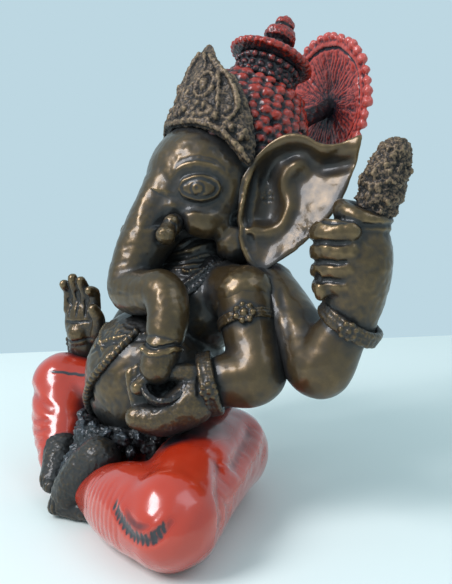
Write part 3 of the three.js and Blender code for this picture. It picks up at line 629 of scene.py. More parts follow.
# %% [markdown]
# The sash is bundled cloth painted black over bronze: a roll round the hips and a fall in front, broken
# up by short creases and a crumbly grain.
# %% sash
sash = Clay("sash_casting").limb(about(BELLY, (27, -2, -19), (0, -29, -21), (-27, -2, -19)), [4, 5.5, 4])
sash.limb(about(BELLY, (0, -27, -24), (-2, -34, -34), (-3, -37, -43)), [6, 6, 5])
for k in range(30):
    turn = -1.3 + 2.6 * k / 29
    lift = -20 + 3.5 * math.sin(k * 2.3)
    bunch = BELLY + V(math.sin(turn) * 27.5, -math.cos(turn) * 30, lift)
    sash.ball(bunch, (2.6, 2.2, 2.8 + chance.random()), fine=12)
sash.fuse(0.48, 2).grain(4, 0.9).warts(1.8, 0.5)
sash.flat_foot().done(dark, "dark_wash", "sash")

# %% [markdown]
# Head and trunk. The skull is a ball and the trunk a limb that swings to the figure's left. The almond
# eye is drawn with strokes in its own axes: along from the inner to the outer corner, and up. A moulded
# elephant's cheek is sunk beside the trunk and round the tusk, and undercut along the jaw. These hollows
# are stained dark as painted shade, black round the tusk root, and the jaw groove as a painted shadow.
# %% head
TRUNK = [(0, -14, -4), (0, -26, -18), (0, -34, -31), (2, -37, -41)]
TRUNK += [(13, -36, -42), (24, -34, -41), (30, -35, -48)]
EYE, EYE_LONG = V(20.2, 7, 127.6), V(0.578, 0.816, -0.02)


def eye_point(side, a, b):
    return on_side(EYE + EYE_LONG * a + V(0, 0, b), side)


def arc(side, reach, low, high, steps=9, tilt=0.0):
    """An arc over or under the eye: reach is half its width, and it rises from low at the ends to high."""
    out = []
    for k in range(steps):
        a = -math.cos(math.pi * k / (steps - 1))
        out.append(eye_point(side, reach * a, low + (high - low) * math.sqrt(max(0, 1 - a * a)) + tilt * a))
    return out


head = Clay("head_casting").ball(HEAD, (26, 27, 28), fine=48)
head.limb([HEAD + V(p) for p in TRUNK + [(32, -37, -55)]], [16, 12, 10, 10, 9, 8.5, 8, 7.5])
for side in (1, -1):
    head.ball(HEAD + V(side * 20, 2, -23), (9, 10, 9), fine=36)
    head.ball(HEAD + V(side * 15, -8, -14), (9, 14, 8.5), fine=36)
head.fuse(0.48, 24).grain(18, 0.35, seed=1).grain(3, 0.04, seed=5)
for side in (1, -1):
    # painted shade: the hollow beside the trunk is stained a little dark
    head.stroke([V(13 * side, -5, 128), V(12 * side, -8, 120), V(13 * side, -6, 112)], 8, -1.9, stain_and_shade=0.12)
    # painted shade: the sunk cheek round the tusk root is stained black
    head.dent(V(14 * side, -1.5, 113.5), 8.5, -2.6, stain_and_shade=1)
    jaw = [V(12 * side, 4, 109), V(15 * side, 15, 107), V(19 * side, 25, 109)]
    # painted shadow: the groove under the overhanging jaw is stained nearly black
    head.stroke(jaw, 5, -2.2, taper=0, stain_and_shade=0.9)
    head.stroke([V(13 * side, 2, 113), V(16 * side, 10, 111), V(20 * side, 20, 112)], 3.4, 0.9, taper=0.3)
    head.stroke(arc(side, 11, 0, 6.4) + arc(side, 11, 0, -6.2)[::-1], 3.6, -0.6, taper=0, stain_and_shade=0.12)
    head.dent(eye_point(side, 0, 0), 7, 1.4)
    head.stroke(arc(side, 8.8, 0.2, 4.6), 1.0, 0.5, taper=0.1)
    head.stroke(arc(side, 8.8, 0, -4.4), 1.0, 0.45, taper=0.1)
    head.stroke(arc(side, 7.4, 0.1, 3.3), 0.9, -0.45, taper=0, stain_and_shade=0.5)
    head.stroke(arc(side, 7.4, 0, -3.2), 0.9, -0.4, taper=0, stain_and_shade=0.42)
    head.stroke(arc(side, 10.2, 0.6, 6.4), 1.0, -0.35, taper=0.2, stain_and_shade=0.25)
    head.stroke(arc(side, 10, -1, -6.3), 1.0, -0.4, taper=0.2, stain_and_shade=0.25)
    head.stroke(arc(side, 9.6, -4, -9.2), 1.8, -0.35, taper=0.3, stain_and_shade=0.05)
    iris = [eye_point(side, 2.3 * math.cos(t) - 0.4, 2.0 * math.sin(t)) for t in all_round(17)]
    head.stroke(iris, 0.75, -0.35, taper=0, stain_and_shade=0.4).dent(eye_point(side, -0.4, 0), 0.9, -0.35, stain_and_shade=0.5)
    head.stroke(arc(side, 11.5, 5, 11.5, tilt=-0.6), 1.2, -0.3, taper=0.35, stain_and_shade=0.16)
    head.stroke(arc(side, 11.5, 3.8, 10, tilt=-0.6), 2.2, 0.4, taper=0.35)
    head.stroke(arc(side, 11, 6.6, 13.2, tilt=-0.6), 0.8, -0.2, taper=0.3, stain_and_shade=0.1)
    eye_area = head.within(eye_point(side, 0, 0), 12, 5)
    head.relax(2, 0.45, eye_area)
    head.stain_and_shade += 0.1 * eye_area
folds = smooth_path([HEAD + V(p) for p in TRUNK[:5]], 5.2)
for p in folds[2:]:
    fold = about(V(p), (-9, -7, 1.5), (0, -12, 0), (9, -7, 1.5))
    head.stroke(fold, 1.3, -0.1, taper=0.35, stain_and_shade=0.02)
head.relax(1, 0.25)
head.done(bronze, "bronze_paint", "head")

# %% [markdown]
# Trunk tip: it narrows to a cracked ring, swells again and ends in a small finger on its front.
# %% trunk tip
trunk_tip = Clay("trunk_tip_casting")
trunk_tip.limb(about(HEAD, (31.6, -36.6, -54), (32.6, -37.6, -57), (33, -39, -61)), [7.3, 6.6, 6.4])
trunk_tip.limb(about(HEAD, (33, -39, -60), (34, -42, -67)), [7.2, 6.6])
trunk_tip.ball((31.2, -21.8, 69), (2.3, 2.3, 2))
trunk_tip.fuse(0.42, 6).grain(5, 0.15)
crack = [V(33 + 8 * math.cos(t), -15 + 8 * math.sin(t), 71 + 0.8 * math.cos(3 * t)) for t in all_round(13)]
trunk_tip.stroke(crack, 1.1, -1.0, taper=0, stain_and_shade=1)
trunk_tip.stroke([p + V(0, 0, -2.4) for p in crack], 1.2, 0.5, taper=0)
trunk_tip.done(bronze, "bronze_paint", "trunk_tip")

# %% [markdown]
# Tusks: short pegs with a swollen end, each out of a puckered socket.
# %% tusks
for side in (1, -1):
    name = "left_tusk" if side > 0 else "right_tusk"
    tusk = Clay(name + "_casting")
    tusk.limb(about(HEAD, (12 * side, -23, -15.5), (16 * side, -28, -18.5)), [4.2, 3.6])
    tusk.ball(HEAD + V(17 * side, -29.2, -19.6), (4, 4, 3.9))
    tusk.ball(HEAD + V(14.6 * side, -25.5, -14.6), (3.4, 3, 3))
    tusk.fuse(0.36, 6).grain(3, 0.2)
    ring = []
    for t in np.linspace(0, NEARLY_ROUND, 9):
        out = 15.5 + 4 * math.cos(t)
        ring.append(HEAD + V(out * side, -27 + 2.5 * math.cos(t), -18.5 + 4 * math.sin(t)))
    tusk.stroke(ring, 0.9, -0.25, taper=0, stain_and_shade=0.3)
    tusk.done(bronze, "bronze_paint", name)

# %% [markdown]
# Ears: each is a thick leaf with a wavy outline, cupped towards the front. The top edge is rolled over,
# with a groove under the roll. An S-shaped fold parts the deep hollow beside the head from the broad
# outer blade, and the lower back edge is thick and rough.
# %% ears
EAR_ROOT = HEAD + V(25, 2, -7)
EAR_OUT = V(0.77, 0.62, 0.12).normalized()
EAR_UP = V(-0.05, 0.12, 0.99).normalized()
EAR_FACE = -EAR_UP.cross(EAR_OUT).normalized()
EAR_OUTLINE = [(-2, 6), (2, 14), (8.5, 21), (16, 24.5), (24, 23), (31, 18.5), (38, 17.5), (46.5, 19.3)]
EAR_OUTLINE += [(44.3, 7), (39.5, -7), (27.5, -19), (14, -28), (8.5, -30), (1.8, -20), (-1, -10)]


def drawn(*points):
    """A curve drawn flat on the ear, outwards and up from its root."""
    return smooth_path([(a, b, 0) for a, b in points])[:, :2]


ROLL = drawn((3, 9), (8.5, 18), (16, 21.5), (24, 20), (31, 15.5), (38, 14.5), (44, 16))
GROOVE = drawn((6, 9), (10, 14.5), (17.5, 16.5), (24.5, 14.5), (31, 10), (42, 9))
FOLD = drawn((21.4, 13), (16, 6), (18.7, -4), (14, -12.3), (5, -11.4))
HOLLOW = drawn((7.5, 10), (8.5, 1), (8.5, -6))


def ear_point(a, b, w=0):
    return EAR_ROOT + EAR_OUT * a + EAR_UP * b + EAR_FACE * (w - 3.5)


def ear_cup(a, b, reach):
    """How far forward the middle of the leaf lies."""
    folds = 1.6 * ridge(a, b, ROLL, 5) - 2.4 * ridge(a, b, GROOVE, 4.5) + 2.6 * ridge(a, b, FOLD, 5)
    return 7 * reach**2 + folds - 3.6 * ridge(a, b, HOLLOW, 8) + 1.5 * ridge(a, b, [(30, -3)], 16)


for side in (1, -1):
    name = "left_ear" if side > 0 else "right_ear"
    ear = Clay(name + "_casting").leaf(EAR_OUTLINE, (18, 2), 4.6, ear_cup, ear_point, side)
    ear.fuse(0.47, 14).grain(24, 0.4, seed=6).relax(14).grain(3, 0.02, seed=7)
    front = [ear_point(a, b, 9) for a, b in ((6, 11), (2.4, 3), (0.4, -10), (2, -19), (8, -28))]
    back = [ear_point(a, b, 4) for a, b in ((44, 4), (38, -9), (27, -20), (15, -28))]
    for path, width, height, stain_and_shade in ((front, 1.6, 0.9, 0), (back, 3.0, 0.3, 0.7)):
        ear.stroke([on_side(p, side) for p in path], width, height, stain_and_shade=stain_and_shade)
    inner = [ear_point(a, b, 6) for a, b in ((8, 10), (5.2, 3), (3.6, -9), (5.5, -19))]
    ear.stroke([on_side(p, side) for p in inner], 2.2, -0.7, stain_and_shade=0.35)
    spot = on_side(ear_point(8.5, 1.5, -2), side)
    ear.warts(1.5, 0.9, ear.within(spot, 3.6, 2)).dent(spot, 4.5, -0.2, stain_and_shade=0.8)
    behind = ear.within(on_side(ear_point(30, -20, 2), side), 9, 5)
    ear.grain(4, 0.2, behind)
    ear.done(bronze, "bronze_paint", name)

# %% [markdown]
# Crown cap: a turned cap closed in by rows of overlapping scales. The scales are pressed on one by one
# and no two are alike, so their sizes and places are drawn at random round even rows.
# %% crown cap
SCALE_WIDTH = 5.0
cap = Clay("crown_cap_casting")
cap.turned([(0, -6), (25, -6), (26, 4), (24.5, 14), (21, 23), (15, 31), (0, 31)], CROWN, CROWN_UP)
cap.ball(on_crown(8, 9, math.pi), (21, 22, 19), fine=48)
for row in range(9):
    height = -2 + row * 3.8
    radius = np.interp(height, [-6, 4, 14, 23, 31], [25, 26.3, 24.9, 21.3, 15.4])
    count = int(FULL_TURN * radius / SCALE_WIDTH)
    for k in range(count):
        turn = (k + 0.5 * (row % 2) + 0.25 * chance.random()) * FULL_TURN / count
        big = 0.85 + 0.35 * chance.random()
        place = on_crown(height + 0.5 * chance.standard_normal(), radius + 0.4 * chance.random(), turn)
        cap.ball(place, (3.0 * big, 3.0 * big, 2.3 * big), fine=12)
cap.fuse(0.5, 4).grain(6, 0.35, seed=2).done(crown_red, "red_lacquer", "crown_cap")

# %% [markdown]
# Drum: the waisted neck of the crown, with three rows of studs. More wash was left on it than anywhere
# else on the crown, so it starts with a stain all over.
# %% crown drum
drum = Clay("crown_drum_casting")
drum.turned([(0, 31.4), (14.6, 31.4), (12.6, 35.6), (12.8, 38), (14.4, 41.3), (0, 41.3)], CROWN, CROWN_UP)
for row, (height, radius, count) in enumerate(((32.8, 14.4, 26), (36.4, 12.9, 20), (39.9, 13.8, 24))):
    for k in range(count):
        turn = (k + 0.5 * row) * FULL_TURN / count
        drum.ball(on_crown(height, radius, turn), 1.25 + 0.4 * chance.random(), fine=12)
drum.fuse(0.4, 1).grain(2.5, 0.35)
drum.stain_and_shade += 0.3
drum.done(crown_red, "red_lacquer", "crown_drum")

# %% [markdown]
# Dish: a turned disc with a rounded edge. Flat beads pressed round the edge leave it scalloped.
# %% crown dish
DISH_BEADS = 34
dish = Clay("crown_dish_casting")
rim = [(0, 41.8), (13.2, 41.8), (17.6, 43.2), (18.3, 44.6), (17.8, 46)]
rim += [(15.2, 46.7), (12, 45.6), (8, 46.6), (0, 46.6)]
dish.turned(rim, CROWN, CROWN_UP)
for k in range(DISH_BEADS):
    turn = k * FULL_TURN / DISH_BEADS
    dish.ball(on_crown(44.6, 17.1, turn), (1.9, 1.9, 1.6), fine=12)
dish.fuse(0.4, 2).grain(3, 0.35).done(crown_red, "red_lacquer", "crown_dish")

# %% [markdown]
# Finial: two bulbs, turned in one piece, with a groove cut under each where the wash lies black.
# %% finial
finial = Clay("finial_casting")
bulb = [(0, 47), (6.6, 47), (6.9, 48.6), (5.4, 50.4), (4.2, 52), (4.6, 53.2), (7, 54.6), (7.2, 57), (6, 59.2)]
bulb += [(4.3, 60.4), (4.6, 61.8), (4, 64.2), (2, 65.8), (0, 66.4)]
finial.turned(bulb, CROWN, CROWN_UP)
finial.fuse(0.36, 3).grain(3, 0.4)
for height, radius in ((50.6, 5.6), (60.4, 4.6)):
    groove = [on_crown(height, radius, t) for t in all_round(17)]
    finial.stroke(groove, 1.3, -0.6, taper=0, stain_and_shade=0.9)
finial.done(crown_red, "red_lacquer", "finial")

# %% [markdown]
# Tiara: a plate wrapped round the front of the crown, left as rough as it came from the mould. A plain
# band edges it below, arched ribs rise to the tip, and an oval medallion sits on each side.
# %% tiara
TIARA_R = 30
TIARA_OUTLINE = [(0, -3), (21, -4), (38.8, -12), (35.7, 2), (24, 18), (12.8, 24), (0, 35)]
TIARA_OUTLINE += [(-a, b) for a, b in TIARA_OUTLINE[-2:0:-1]]


RIBS = (
    [(24, 0), (26, 9), (20, 18), (9, 26)],
    [(20, 1), (18, 9), (14, 20), (6, 28)],
    [(2, 2), (2, 12), (6, 22), (2, 30)],
)


def tiara_point(a, b, w=0):
    return on_crown(b, TIARA_R + w, a / TIARA_R)


tiara = Clay("tiara_casting").leaf(TIARA_OUTLINE, (0, 9), 4.2, lambda a, b, reach: 0, tiara_point)
for side in (1, -1):
    band = [(1, -2), (12, -1.2), (22, -2.4), (30, -6), (37, -10.5)]
    tiara.limb([tiara_point(side * a, b, 2.2) for a, b in band], [1.2, 1.1])
    for rib in RIBS:
        tiara.limb([tiara_point(side * a, b, 2.1) for a, b in rib], [1.1, 0.8])
    oval = [(9.6 + 4.2 * math.cos(t), 14.6 + 5.4 * math.sin(t)) for t in all_round(14)]
    tiara.limb([tiara_point(side * a, b, 2.1) for a, b in oval], [0.95, 0.95])
    tiara.ball(tiara_point(side * 9.6, 14.6, 1.8), (2.2, 2.2, 2.8))
    for k in range(34):
        a, b = 1 + 32 * chance.random(), 1.2 + 6 * chance.random()
        tiara.ball(tiara_point(side * a, b - 0.006 * a * a, 2.0), 1.0 + 0.9 * chance.random(), fine=12)
tiara.fuse(0.45, 1).grain(5, 0.5).grain(1.8, 0.22, seed=3).warts(1.5, 0.25, seed=9)
tiara.done(rough_bronze, "rough_bronze_paint", "tiara")

# %% [markdown]
# Halo: a dished disc on a short stem. Lumps of clay were pressed round its rim, a ring was scribed inside
# them, and the dish was combed with lines that run out from the middle. The wash stayed in the combing,
# and the middle of the dish, behind the crown, is darkened as painted shade.
# %% halo
HALO = V(0, 84.1, 168.3)
HALO_UP = V(0, math.sin(math.radians(2)), math.cos(math.radians(2)))
HALO_BACK = V(0, HALO_UP.z, -HALO_UP.y)
RIM_LUMPS, COMB_TEETH = 38, 52


def halo_point(a, b, w=0):
    return HALO + V(1, 0, 0) * a + HALO_UP * b + HALO_BACK * (w + 7.2)


circle = [(30 * math.sin(t), 30 * math.cos(t)) for t in np.linspace(0, FULL_TURN, 40, endpoint=False)]
halo = Clay("halo_casting")
halo.leaf(circle, (0, 0), 4.4, lambda a, b, reach: -6 * reach**2, halo_point, around=160)
for k in range(RIM_LUMPS):
    turn = (k + 0.25 * chance.random()) * FULL_TURN / RIM_LUMPS
    lump = 1.9 + 0.7 * chance.random()
    rim = halo_point(29.6 * math.sin(turn), 29.6 * math.cos(turn), -5.4)
    halo.ball(rim, (lump, lump * 0.95, lump), fine=12)
halo.fuse(0.5, 5).grain(9, 0.5, seed=4)
flat = (halo.co - np.array(HALO)) @ np.array([(1, 0, 0), tuple(HALO_UP)]).T
far, turn = np.hypot(*flat.T), np.arctan2(flat[:, 0], flat[:, 1])
wander = np.array([noise.noise(Vector((t * 9, r * 0.12, 1))) for t, r in zip(turn, far)])
comb = np.sin(turn * COMB_TEETH + 5 * wander) * np.clip((24 - far) / 4, 0, 1) * np.clip((far - 4) / 4, 0, 1)
halo.co += halo.normals() * (0.13 * comb + 0.2 * wander)[:, None]
halo.stain_and_shade += np.clip(0.05 - 0.1 * comb, 0, 1) * np.clip((23 - far) / 6, 0, 1)
# painted shade: the middle of the dish, behind the crown, is darkened
halo.stain_and_shade += 0.15 * np.clip((14 - far) / 8, 0, 1)
for radius, width, height in ((24.5, 1.3, -0.9), (26.2, 1.8, 0.6)):
    scribed = [halo_point(radius * math.sin(t), radius * math.cos(t), -6.8) for t in all_round(33)]
    halo.stroke(scribed, width, height, taper=0, stain_and_shade=0.4 if height < 0 else 0)
halo.grain(1.8, 0.12, seed=8).done(halo_red, "red_lacquer", "halo")
# %% [markdown]
# Stem: a plain peg between the back of the crown and the halo, nearly black with wash.
# %% halo stem
stem = Clay("halo_stem_casting").limb([on_crown(16, 14, math.pi), HALO + V(0, 7, -1)], [3.8, 3.8])
stem.fuse(0.5, 4).grain(4, 0.5)
stem.stain_and_shade += 0.55
stem.done(crown_red, "red_lacquer", "halo_stem")

# %% [markdown]
# Arms: tapered limbs bent at the elbow. The rear upper arms are scored with a few soft lines, the front
# ones have a crease inside the elbow, and all carry the slow wobble of hand-pressed clay.
# %% arms
for which, (top, elbow, wrist) in ARMS.items():
    arm = Clay(which + "_arm_casting")
    middle = top.lerp(elbow, 0.55) + V(0, 1, 0)
    arm.limb([top, middle, elbow, elbow.lerp(wrist, 0.6), wrist], [12, 11, 11.5, 10, 8.5])
    arm.fuse(0.55, 22).grain(24, 0.4, seed=len(which)).relax(8).grain(3, 0.03, seed=2)
    side = 1 if "left" in which else -1
    if "rear" in which:
        for k in range(5):
            line = [top + V(12 * side, -3, 6 - 4 * k), middle + V(6 * side, -9, 6 - 4 * k)]
            arm.stroke(line + [elbow + V(-4 * side, -11, 8 - 4 * k)], 2.2, -0.2, taper=0.3, stain_and_shade=0.05)
    else:
        crease = about(elbow, (-9 * side, -4, 6), (-8 * side, -8, 0), (-6 * side, -9, -6))
        arm.stroke(crease, 2.2, -0.7, stain_and_shade=0.2)
    arm.relax(1, 0.3).done(bronze, "bronze_paint", which + "_arm")

# %% [markdown]
# Bangles and armlets. A bangle is two twisted cords side by side with a flower at the front. An armlet
# is a string of granules with a rosette on its outer side.
# %% bangles and armlets
PETALS = 7


def flower(clay, centre, out, size):
    """A boss with petals round it, facing out."""
    turn = V(0, 0, 1).rotation_difference(V(out)).to_matrix()
    clay.ball(centre, size * 0.55)
    for k in range(PETALS):
        a = k * FULL_TURN / PETALS
        clay.ball(V(centre) + turn @ V(size * math.cos(a), size * math.sin(a), 0), size * 0.42, fine=12)


for which, (top, elbow, wrist) in ARMS.items():
    axis = wrist - elbow
    bangle = Clay(which + "_bangle_casting").ring(wrist, axis, 10.6, 1.7)
    for lift in (-1.7, 1.7):
        bangle.ring(wrist, axis, 11.0, 1.4, spacing=1.0, lift=lift)
    front = V(0.75 if "left" in which else -0.75, -0.66, 0)
    front = (front - axis.normalized() * front.dot(axis.normalized())).normalized()
    flower(bangle, wrist + front * 12, front, 2.6)
    bangle.fuse(0.38, 3).grain(2.4, 0.2)
    bangle.stain_and_shade += 0.15
    bangle.done(bronze, "bronze_paint", which + "_bangle")
    if "rear" not in which:
        along = (elbow - top).normalized()
        centre = top + along * 11
        armlet = Clay(which + "_armlet_casting").ring(centre, along, 10.7, 1.1)
        for lift in (-1.4, 1.4):
            armlet.ring(centre, along, 11.0, 0.8, spacing=1.5, lift=lift)
        out = V(0.8 if which == "left" else -0.8, -0.6, 0.1)
        out = (out - along * out.dot(along)).normalized()
        flower(armlet, centre + out * 11.7, out, 3.2)
        armlet.fuse(0.35, 2).grain(2, 0.15).done(bronze, "bronze_paint", which + "_armlet")

# %% [markdown]
# The cupped left hand. The palm runs under the bowl, the heel folds over it towards the trunk, four
# fingers stand side by side at the front, and the thumb ends in a ball.
# %% left hand
BOWL, BOWL_UP = V(33, -14.5, 52.1), V(0.62, -0.42, 0.66).normalized()
wrist = ARMS["left"][2]
hand = Clay("left_hand_casting")
hand.limb([wrist, V(41, -9, 49), V(37, -18, 43.5), V(32, -26, 44)], [8.6, 8.6, 6.6, 4.6])
hand.limb([wrist + V(2, -2, 3.5), V(39, -11, 60), V(33.5, -18, 61)], [5, 3.8, 3])
hand.limb([V(44, -8, 55), V(44, -12, 49), V(39.5, -20, 44), V(34, -25.5, 44.5)], [3.2, 3.2, 2.8, 2.6])
for k in range(4):
    step = V(-0.53, -0.85, 0) * (2.5 * k)
    finger = [V(33.5, -20, 43.5), V(31.8, -21.6, 50), V(31.2, -21.6, 58), V(31.6, -20, 64 - 1.2 * k)]
    hand.limb([p + step * (0.4 + 0.2 * n) for n, p in enumerate(finger)], [2.6, 2.3, 2.1, 1.7])
hand.limb([V(36, -15, 60.5), V(34, -21, 59.5), V(33, -25, 57)], [2.8, 2.5, 2.3]).ball((33, -25.8, 55.4), 3.0)
hand.fuse(0.42, 5).grain(5, 0.2).grain(2, 0.05, seed=3)
hand.stroke([V(45, -2, 60), V(45, -6, 58), V(46, -9, 52)], 1.8, -0.8, stain_and_shade=0.5)
hand.done(bronze, "bronze_paint", "left_hand")
# %% [markdown]
# Bowl: turned, with a thin lip. Its inside is darkened as painted shade, black at the middle of the hollow.
# %% bowl
bowl = Clay("bowl_casting")
bowl.turned([(0, 0), (6.2, 0), (8.8, 5.4), (8.8, 9), (6.6, 9), (6.1, 5), (3.5, 2.2), (0, 2.2)], BOWL, BOWL_UP)
bowl.fuse(0.36, 3).grain(4, 0.3)
# painted shade: the inside of the bowl darkens towards its middle
bowl.stain_and_shade += np.clip(1.2 - np.linalg.norm(bowl.co - np.array(BOWL + BOWL_UP * 4), axis=1) / 7, 0, 1)
bowl.done(blackened, "bronze_paint", "bowl")

# %% [markdown]
# The right hand is raised in blessing: a flat palm turned a little outwards, four fingers curling
# forward at their tips, and a thumb laid along them.
# %% right hand
PALM = V(-44, -18, 56.1)
ACROSS, AHEAD = V(0.87, 0.5, 0), V(0.5, -0.87, 0)
turned_palm = Matrix.Rotation(math.radians(30), 4, "Z")
hand = Clay("right_hand_casting").ball(PALM + V(0, 0, 11), (10, 4.8, 12), turned_palm)
hand.limb([ARMS["right"][2], PALM + V(0, -1, 7)], [8, 6.4])
for x, tip in zip((-7.4, -2.5, 2.4, 7.2), (30, 33, 32, 28)):
    base = PALM + ACROSS * x
    finger = [base + V(0, 0, 17), base + V(0, 0, 25), base + AHEAD * 3.2 + V(0, 0, tip - 1)]
    hand.limb(finger, [2.8, 2.7, 2.3])
thumb = [PALM + ACROSS * a + AHEAD * b + V(0, 0, c) for a, b, c in ((7, 0, 5), (11, 2, 13), (9.5, 4, 19))]
hand.limb(thumb, [3.2, 3, 2.4])
hand.fuse(0.4, 4).grain(5, 0.2)
for x in (-5, 0, 4.8):
    hand.stroke([PALM + ACROSS * x + AHEAD * 4.5 + V(0, 0, z) for z in (15, 20, 26)], 1.0, -0.7, stain_and_shade=0.6)
for z in (4, 12.5):
    crease = [PALM + ACROSS * x + AHEAD * 5.5 + V(0, 0, z + 0.1 * x) for x in (-8, 0, 8)]
    hand.stroke(crease, 1.0, -0.6, stain_and_shade=0.5)
hand.done(bronze, "bronze_paint", "right_hand")

# %% [markdown]
# The two rear hands are fists closed round a handle. The back of the hand is one smooth volume; four
# fingers wrap round the front of it, one under another, and the thumb closes over the top as a ring.
# %% fists
for which, up, side in (("rear_left", V(0.08, 0.05, 1), 1), ("rear_right", V(-0.05, 0.08, 1), -1)):
    wrist = ARMS[which][2]
    palm = wrist + up * 20
    hand = Clay(which + "_hand_casting").limb([wrist, palm, palm + up * 12], [9.2, 12.4, 9])
    for k, (lift, thick) in enumerate(((11.6, 4.9), (5.2, 4.7), (-1.2, 4.4), (-6.8, 3.8))):
        row = palm + up * lift
        way = [(5.5, -9.5, 0.8), (1, -12.3, 0.4), (-4, -12.6, 0), (-8.5, -9, -0.6), (-7, -3, -1)]
        finger = [row + V(x * side, y * (1 - 0.05 * k), z) for x, y, z in way]
        hand.limb(finger, [thick - 1.2, thick, thick, thick - 0.3])
    hand.ball(palm + V(0, -13.4, 4) + up * 3, (4, 3.4, 4.4))
    hand.ball(palm + V(-2 * side, -14.2, -8), (3, 2.6, 3.8))
    hand.ring(palm + up * 17.4, V(0.28 * side, 0.17, 0.95), 7.6, 3.5)
    hand.ball(palm + up * 14.5 + V(0, -1, 0), (10, 9.5, 4))
    hand.fuse(0.5, 9).grain(16, 0.4, seed=5).grain(3, 0.04, seed=6)
    loop = [palm + up * 14.2 + V(10.5 * math.cos(t), 10.5 * math.sin(t), 0) for t in all_round(17)]
    hand.stroke(loop, 1.6, -0.8, taper=0, stain_and_shade=0.3).dent(palm + up * 19, 5.5, -1.5, stain_and_shade=1)
    for lift in (15, 8.6, 1.9, -4.4):
        gap = [palm + up * lift + V(x * side, y, 0) for x, y in ((6, -11), (1, -15), (-5, -14), (-11, -8))]
        hand.stroke(gap, 1.5, -0.9, taper=0.25, stain_and_shade=0.45)
    hand.dent(palm + V(-3 * side, -15, -3), 2.6, -1.4, stain_and_shade=1)
    hand.done(bronze, "bronze_paint", which + "_hand")

# %% [markdown]
# Club: short, swollen at the middle and rough as bark. Lumps are thrown at its skin at random, and then
# grain of two sizes breaks them up, so that it looks like a casting nobody smoothed.
# %% club
LUMPS = 110
CLUB_FOOT, CLUB_UP = V(77.9, 37.7, 104), V(0.28, 0.17, 0.95).normalized()
club = Clay("club_casting").limb([CLUB_FOOT, CLUB_FOOT + CLUB_UP * 14], [3.2, 4.2])
club.limb([CLUB_FOOT + CLUB_UP * t for t in (17, 27, 36)], [6.6, 7.6, 5.6])
for k in range(LUMPS):
    turn, t = NEARLY_ROUND * chance.random(), 15 + 24 * chance.random()
    wide = np.interp(t, [14, 18, 27, 36, 41], [4.4, 6.6, 7.5, 5.4, 2])
    side = CLUB_UP.orthogonal().normalized()
    out = Matrix.Rotation(turn, 3, CLUB_UP) @ side
    club.ball(CLUB_FOOT + CLUB_UP * t + out * wide, tuple(0.6 + 0.9 * chance.random(3)), fine=12)
club.fuse(0.42, 1).grain(3.2, 0.9).grain(1.4, 0.25, seed=2)
club.done(rough_bronze, "rough_bronze_paint", "club")

# %% [markdown]
# Goad: the hooked stick for driving an elephant, a plain shaft with a short hook near its top.
# %% goad
GOAD, GOAD_UP = V(-73.2, 41.4, 105), V(-0.1, 0.06, 1).normalized()
goad = Clay("goad_casting").limb([GOAD, GOAD + GOAD_UP * 34], [2.8, 2.8])
hook = GOAD + GOAD_UP * 24
goad.limb([hook, hook + V(1, -9, 4), hook + V(2, -12, -3)], [3, 3, 2])
goad.fuse(0.36, 2).grain(3, 0.6).grain(1.4, 0.25, seed=2)
goad.done(rough_bronze, "rough_bronze_paint", "goad")

# %% [markdown]
# Necklace: a heavy twisted rope on the chest with pendant granules hanging from it.
# %% necklace
THROAT, THROAT_UP = CHEST + V(0, -6, 12), V(0, -0.55, 0.83)
necklace = Clay("necklace_casting").ring(THROAT, THROAT_UP, 18.6, 4)
necklace.ring(THROAT, THROAT_UP, 22.2, 1.7, spacing=1.2)
necklace.ring(THROAT, THROAT_UP, 20.5, 1.5, spacing=1.3, lift=2.4)
necklace.fuse(0.42, 2).grain(3, 0.4)
necklace.done(blackened, "dark_wash", "necklace")

# %% [markdown]
# Painted shade between parts, and the dark wash that settles in the same places. From each point of the skin two
# short feelers are sent out, spread round its normal; the share that meets another surface within 14 mm says how
# sheltered the point is, and the paint is darkened there as painted shade. Rounds of averaging over the neighbours
# make many feelers out of few.
# %% painted shade and wash map
FEELER, FEELERS = 14 * MM, 2
SPREAD = 0.58
CLEAR_OF_SKIN = 0.35
everything = bmesh.new()
for casting in castings:
    everything.from_mesh(casting.obj.data)
tree = BVHTree.FromBMesh(everything)
everything.free()
for casting in castings:
    normals = casting.normals()
    casting.obj.data.vertices.foreach_set("co", (casting.co * MM).ravel())
    casting.obj.data.update()
    start = (casting.co + normals * CLEAR_OF_SKIN) * MM
    met = np.zeros((len(start), 1))
    for _ in range(FEELERS):
        ways = normals + chance.normal(0, SPREAD, normals.shape)
        ways /= np.linalg.norm(ways, axis=1)[:, None]
        for k, (p, way) in enumerate(zip(start, ways)):
            gap = tree.ray_cast(Vector(p), Vector(way), FEELER)[3]
            if gap is not None:
                met[k] += (1 - 0.6 * gap / FEELER) / FEELERS
    for _ in range(14):
        met = met * 0.4 + casting.average(met) * 0.6
    found = np.clip(met[:, 0] * 1.5, 0, 1).astype(np.float32)
    # the map darkens the paint as painted shade between parts, on top of the wash that gathers there
    casting.obj.data.attributes.new("shade_and_wash", "FLOAT", "POINT").data.foreach_set("value", found)
print("skin points felt:", sum(len(c.co) for c in castings))

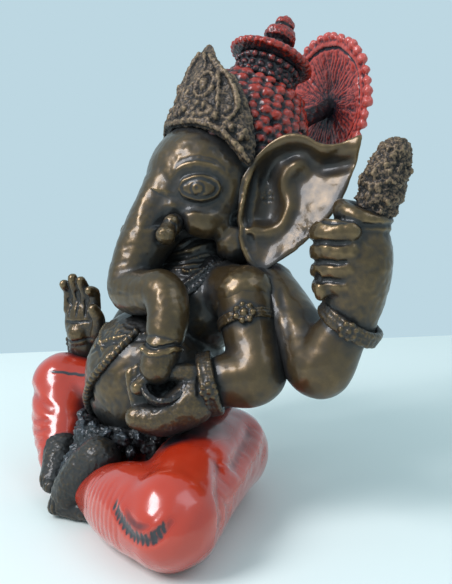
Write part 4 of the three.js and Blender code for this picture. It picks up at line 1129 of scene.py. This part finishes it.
# %% [markdown]
# Stage: a pale board under the figure, a pale sky-blue surround, and broad soft lights.
# %% stage
CAMERA_PLACE = V(0.2601, -0.13035, 0.1213)
CAMERA_TURN, CAMERA_PITCH, CAMERA_LENS = 58, 7.11, 43.15
BOARD_HALF, BOARD_TURN, BOARD_EDGE_AWAY = 0.9, 11.6, 0.602
floor = bpy.data.meshes.new("floor")
bm = bmesh.new()
bmesh.ops.create_grid(bm, x_segments=1, y_segments=1, size=BOARD_HALF)
board_turn = Matrix.Rotation(math.radians(CAMERA_TURN + BOARD_TURN), 3, "Z")
bmesh.ops.rotate(bm, verts=bm.verts, cent=(0, 0, 0), matrix=board_turn)
AWAY = V(-0.848, 0.530, 0)
far_edge = V(CAMERA_PLACE.x, CAMERA_PLACE.y, 0) + AWAY * BOARD_EDGE_AWAY
turned_away = Matrix.Rotation(math.radians(BOARD_TURN), 3, "Z") @ AWAY
bmesh.ops.translate(bm, verts=bm.verts, vec=far_edge - turned_away * BOARD_HALF)
bm.to_mesh(floor)
bm.free()
floor = bpy.data.objects.new("floor", floor)
bpy.context.scene.collection.objects.link(floor)
pale = bpy.data.materials.new("pale_board")
pale.use_nodes = True
board_shader = pale.node_tree.nodes["Principled BSDF"]
board_shader.inputs["Base Color"].default_value = linear("#e3e9e4")
board_shader.inputs["Roughness"].default_value = 0.75
floor.data.materials.append(pale)
print("board:", 2 * BOARD_HALF, "m square")

# %% [markdown]
# Light. The figure stands in open shade, so most of the light is the pale blue surround. A window in
# front gives the long soft highlights on the paint, and a weak panel behind fills the far side.
# %% light
world = bpy.data.worlds.new("sky")
bpy.context.scene.world = world
world.use_nodes = True
sky = world.node_tree.nodes["Background"]
sky.inputs["Color"].default_value = linear("#bdd7e2")
sky.inputs["Strength"].default_value = 1.0


def area_light(name, place, at, size, watts, tint="#ffffff"):
    light = bpy.data.lights.new(name, "AREA")
    light.shape = "RECTANGLE"
    light.size, light.size_y = size
    light.energy = watts
    light.color = linear(tint)[:3]
    obj = bpy.data.objects.new(name, light)
    bpy.context.scene.collection.objects.link(obj)
    obj.location = place
    obj.rotation_euler = (V(at) - obj.location).to_track_quat("-Z", "Y").to_euler()


area_light("window", (0.0, -0.75, 0.75), (0, 0, 0.1), (0.4, 0.5), 9, "#f8f9ff")
area_light("sky_panel", (0.6, 0.3, 0.9), (0, 0, 0.1), (0.5, 0.5), 1.5, "#e4f0ff")
bpy.context.scene.view_settings.view_transform = "Standard"
print("lights:", len(bpy.data.lights))

# %% [markdown]
# Camera: low, close and to the figure's left, so that the trunk, one ear and the open bowl all show.
# %% camera
camera = bpy.data.objects.new("camera", bpy.data.cameras.new("camera"))
bpy.context.scene.collection.objects.link(camera)
camera.data.lens = CAMERA_LENS
camera.data.sensor_width = 36
camera.data.clip_start = 0.01
camera.location = CAMERA_PLACE
camera.rotation_euler = (math.pi / 2 - math.radians(CAMERA_PITCH), 0, math.radians(CAMERA_TURN))
bpy.context.scene.camera = camera
print("camera", round(V(camera.location).length * 1000), "mm from the origin")
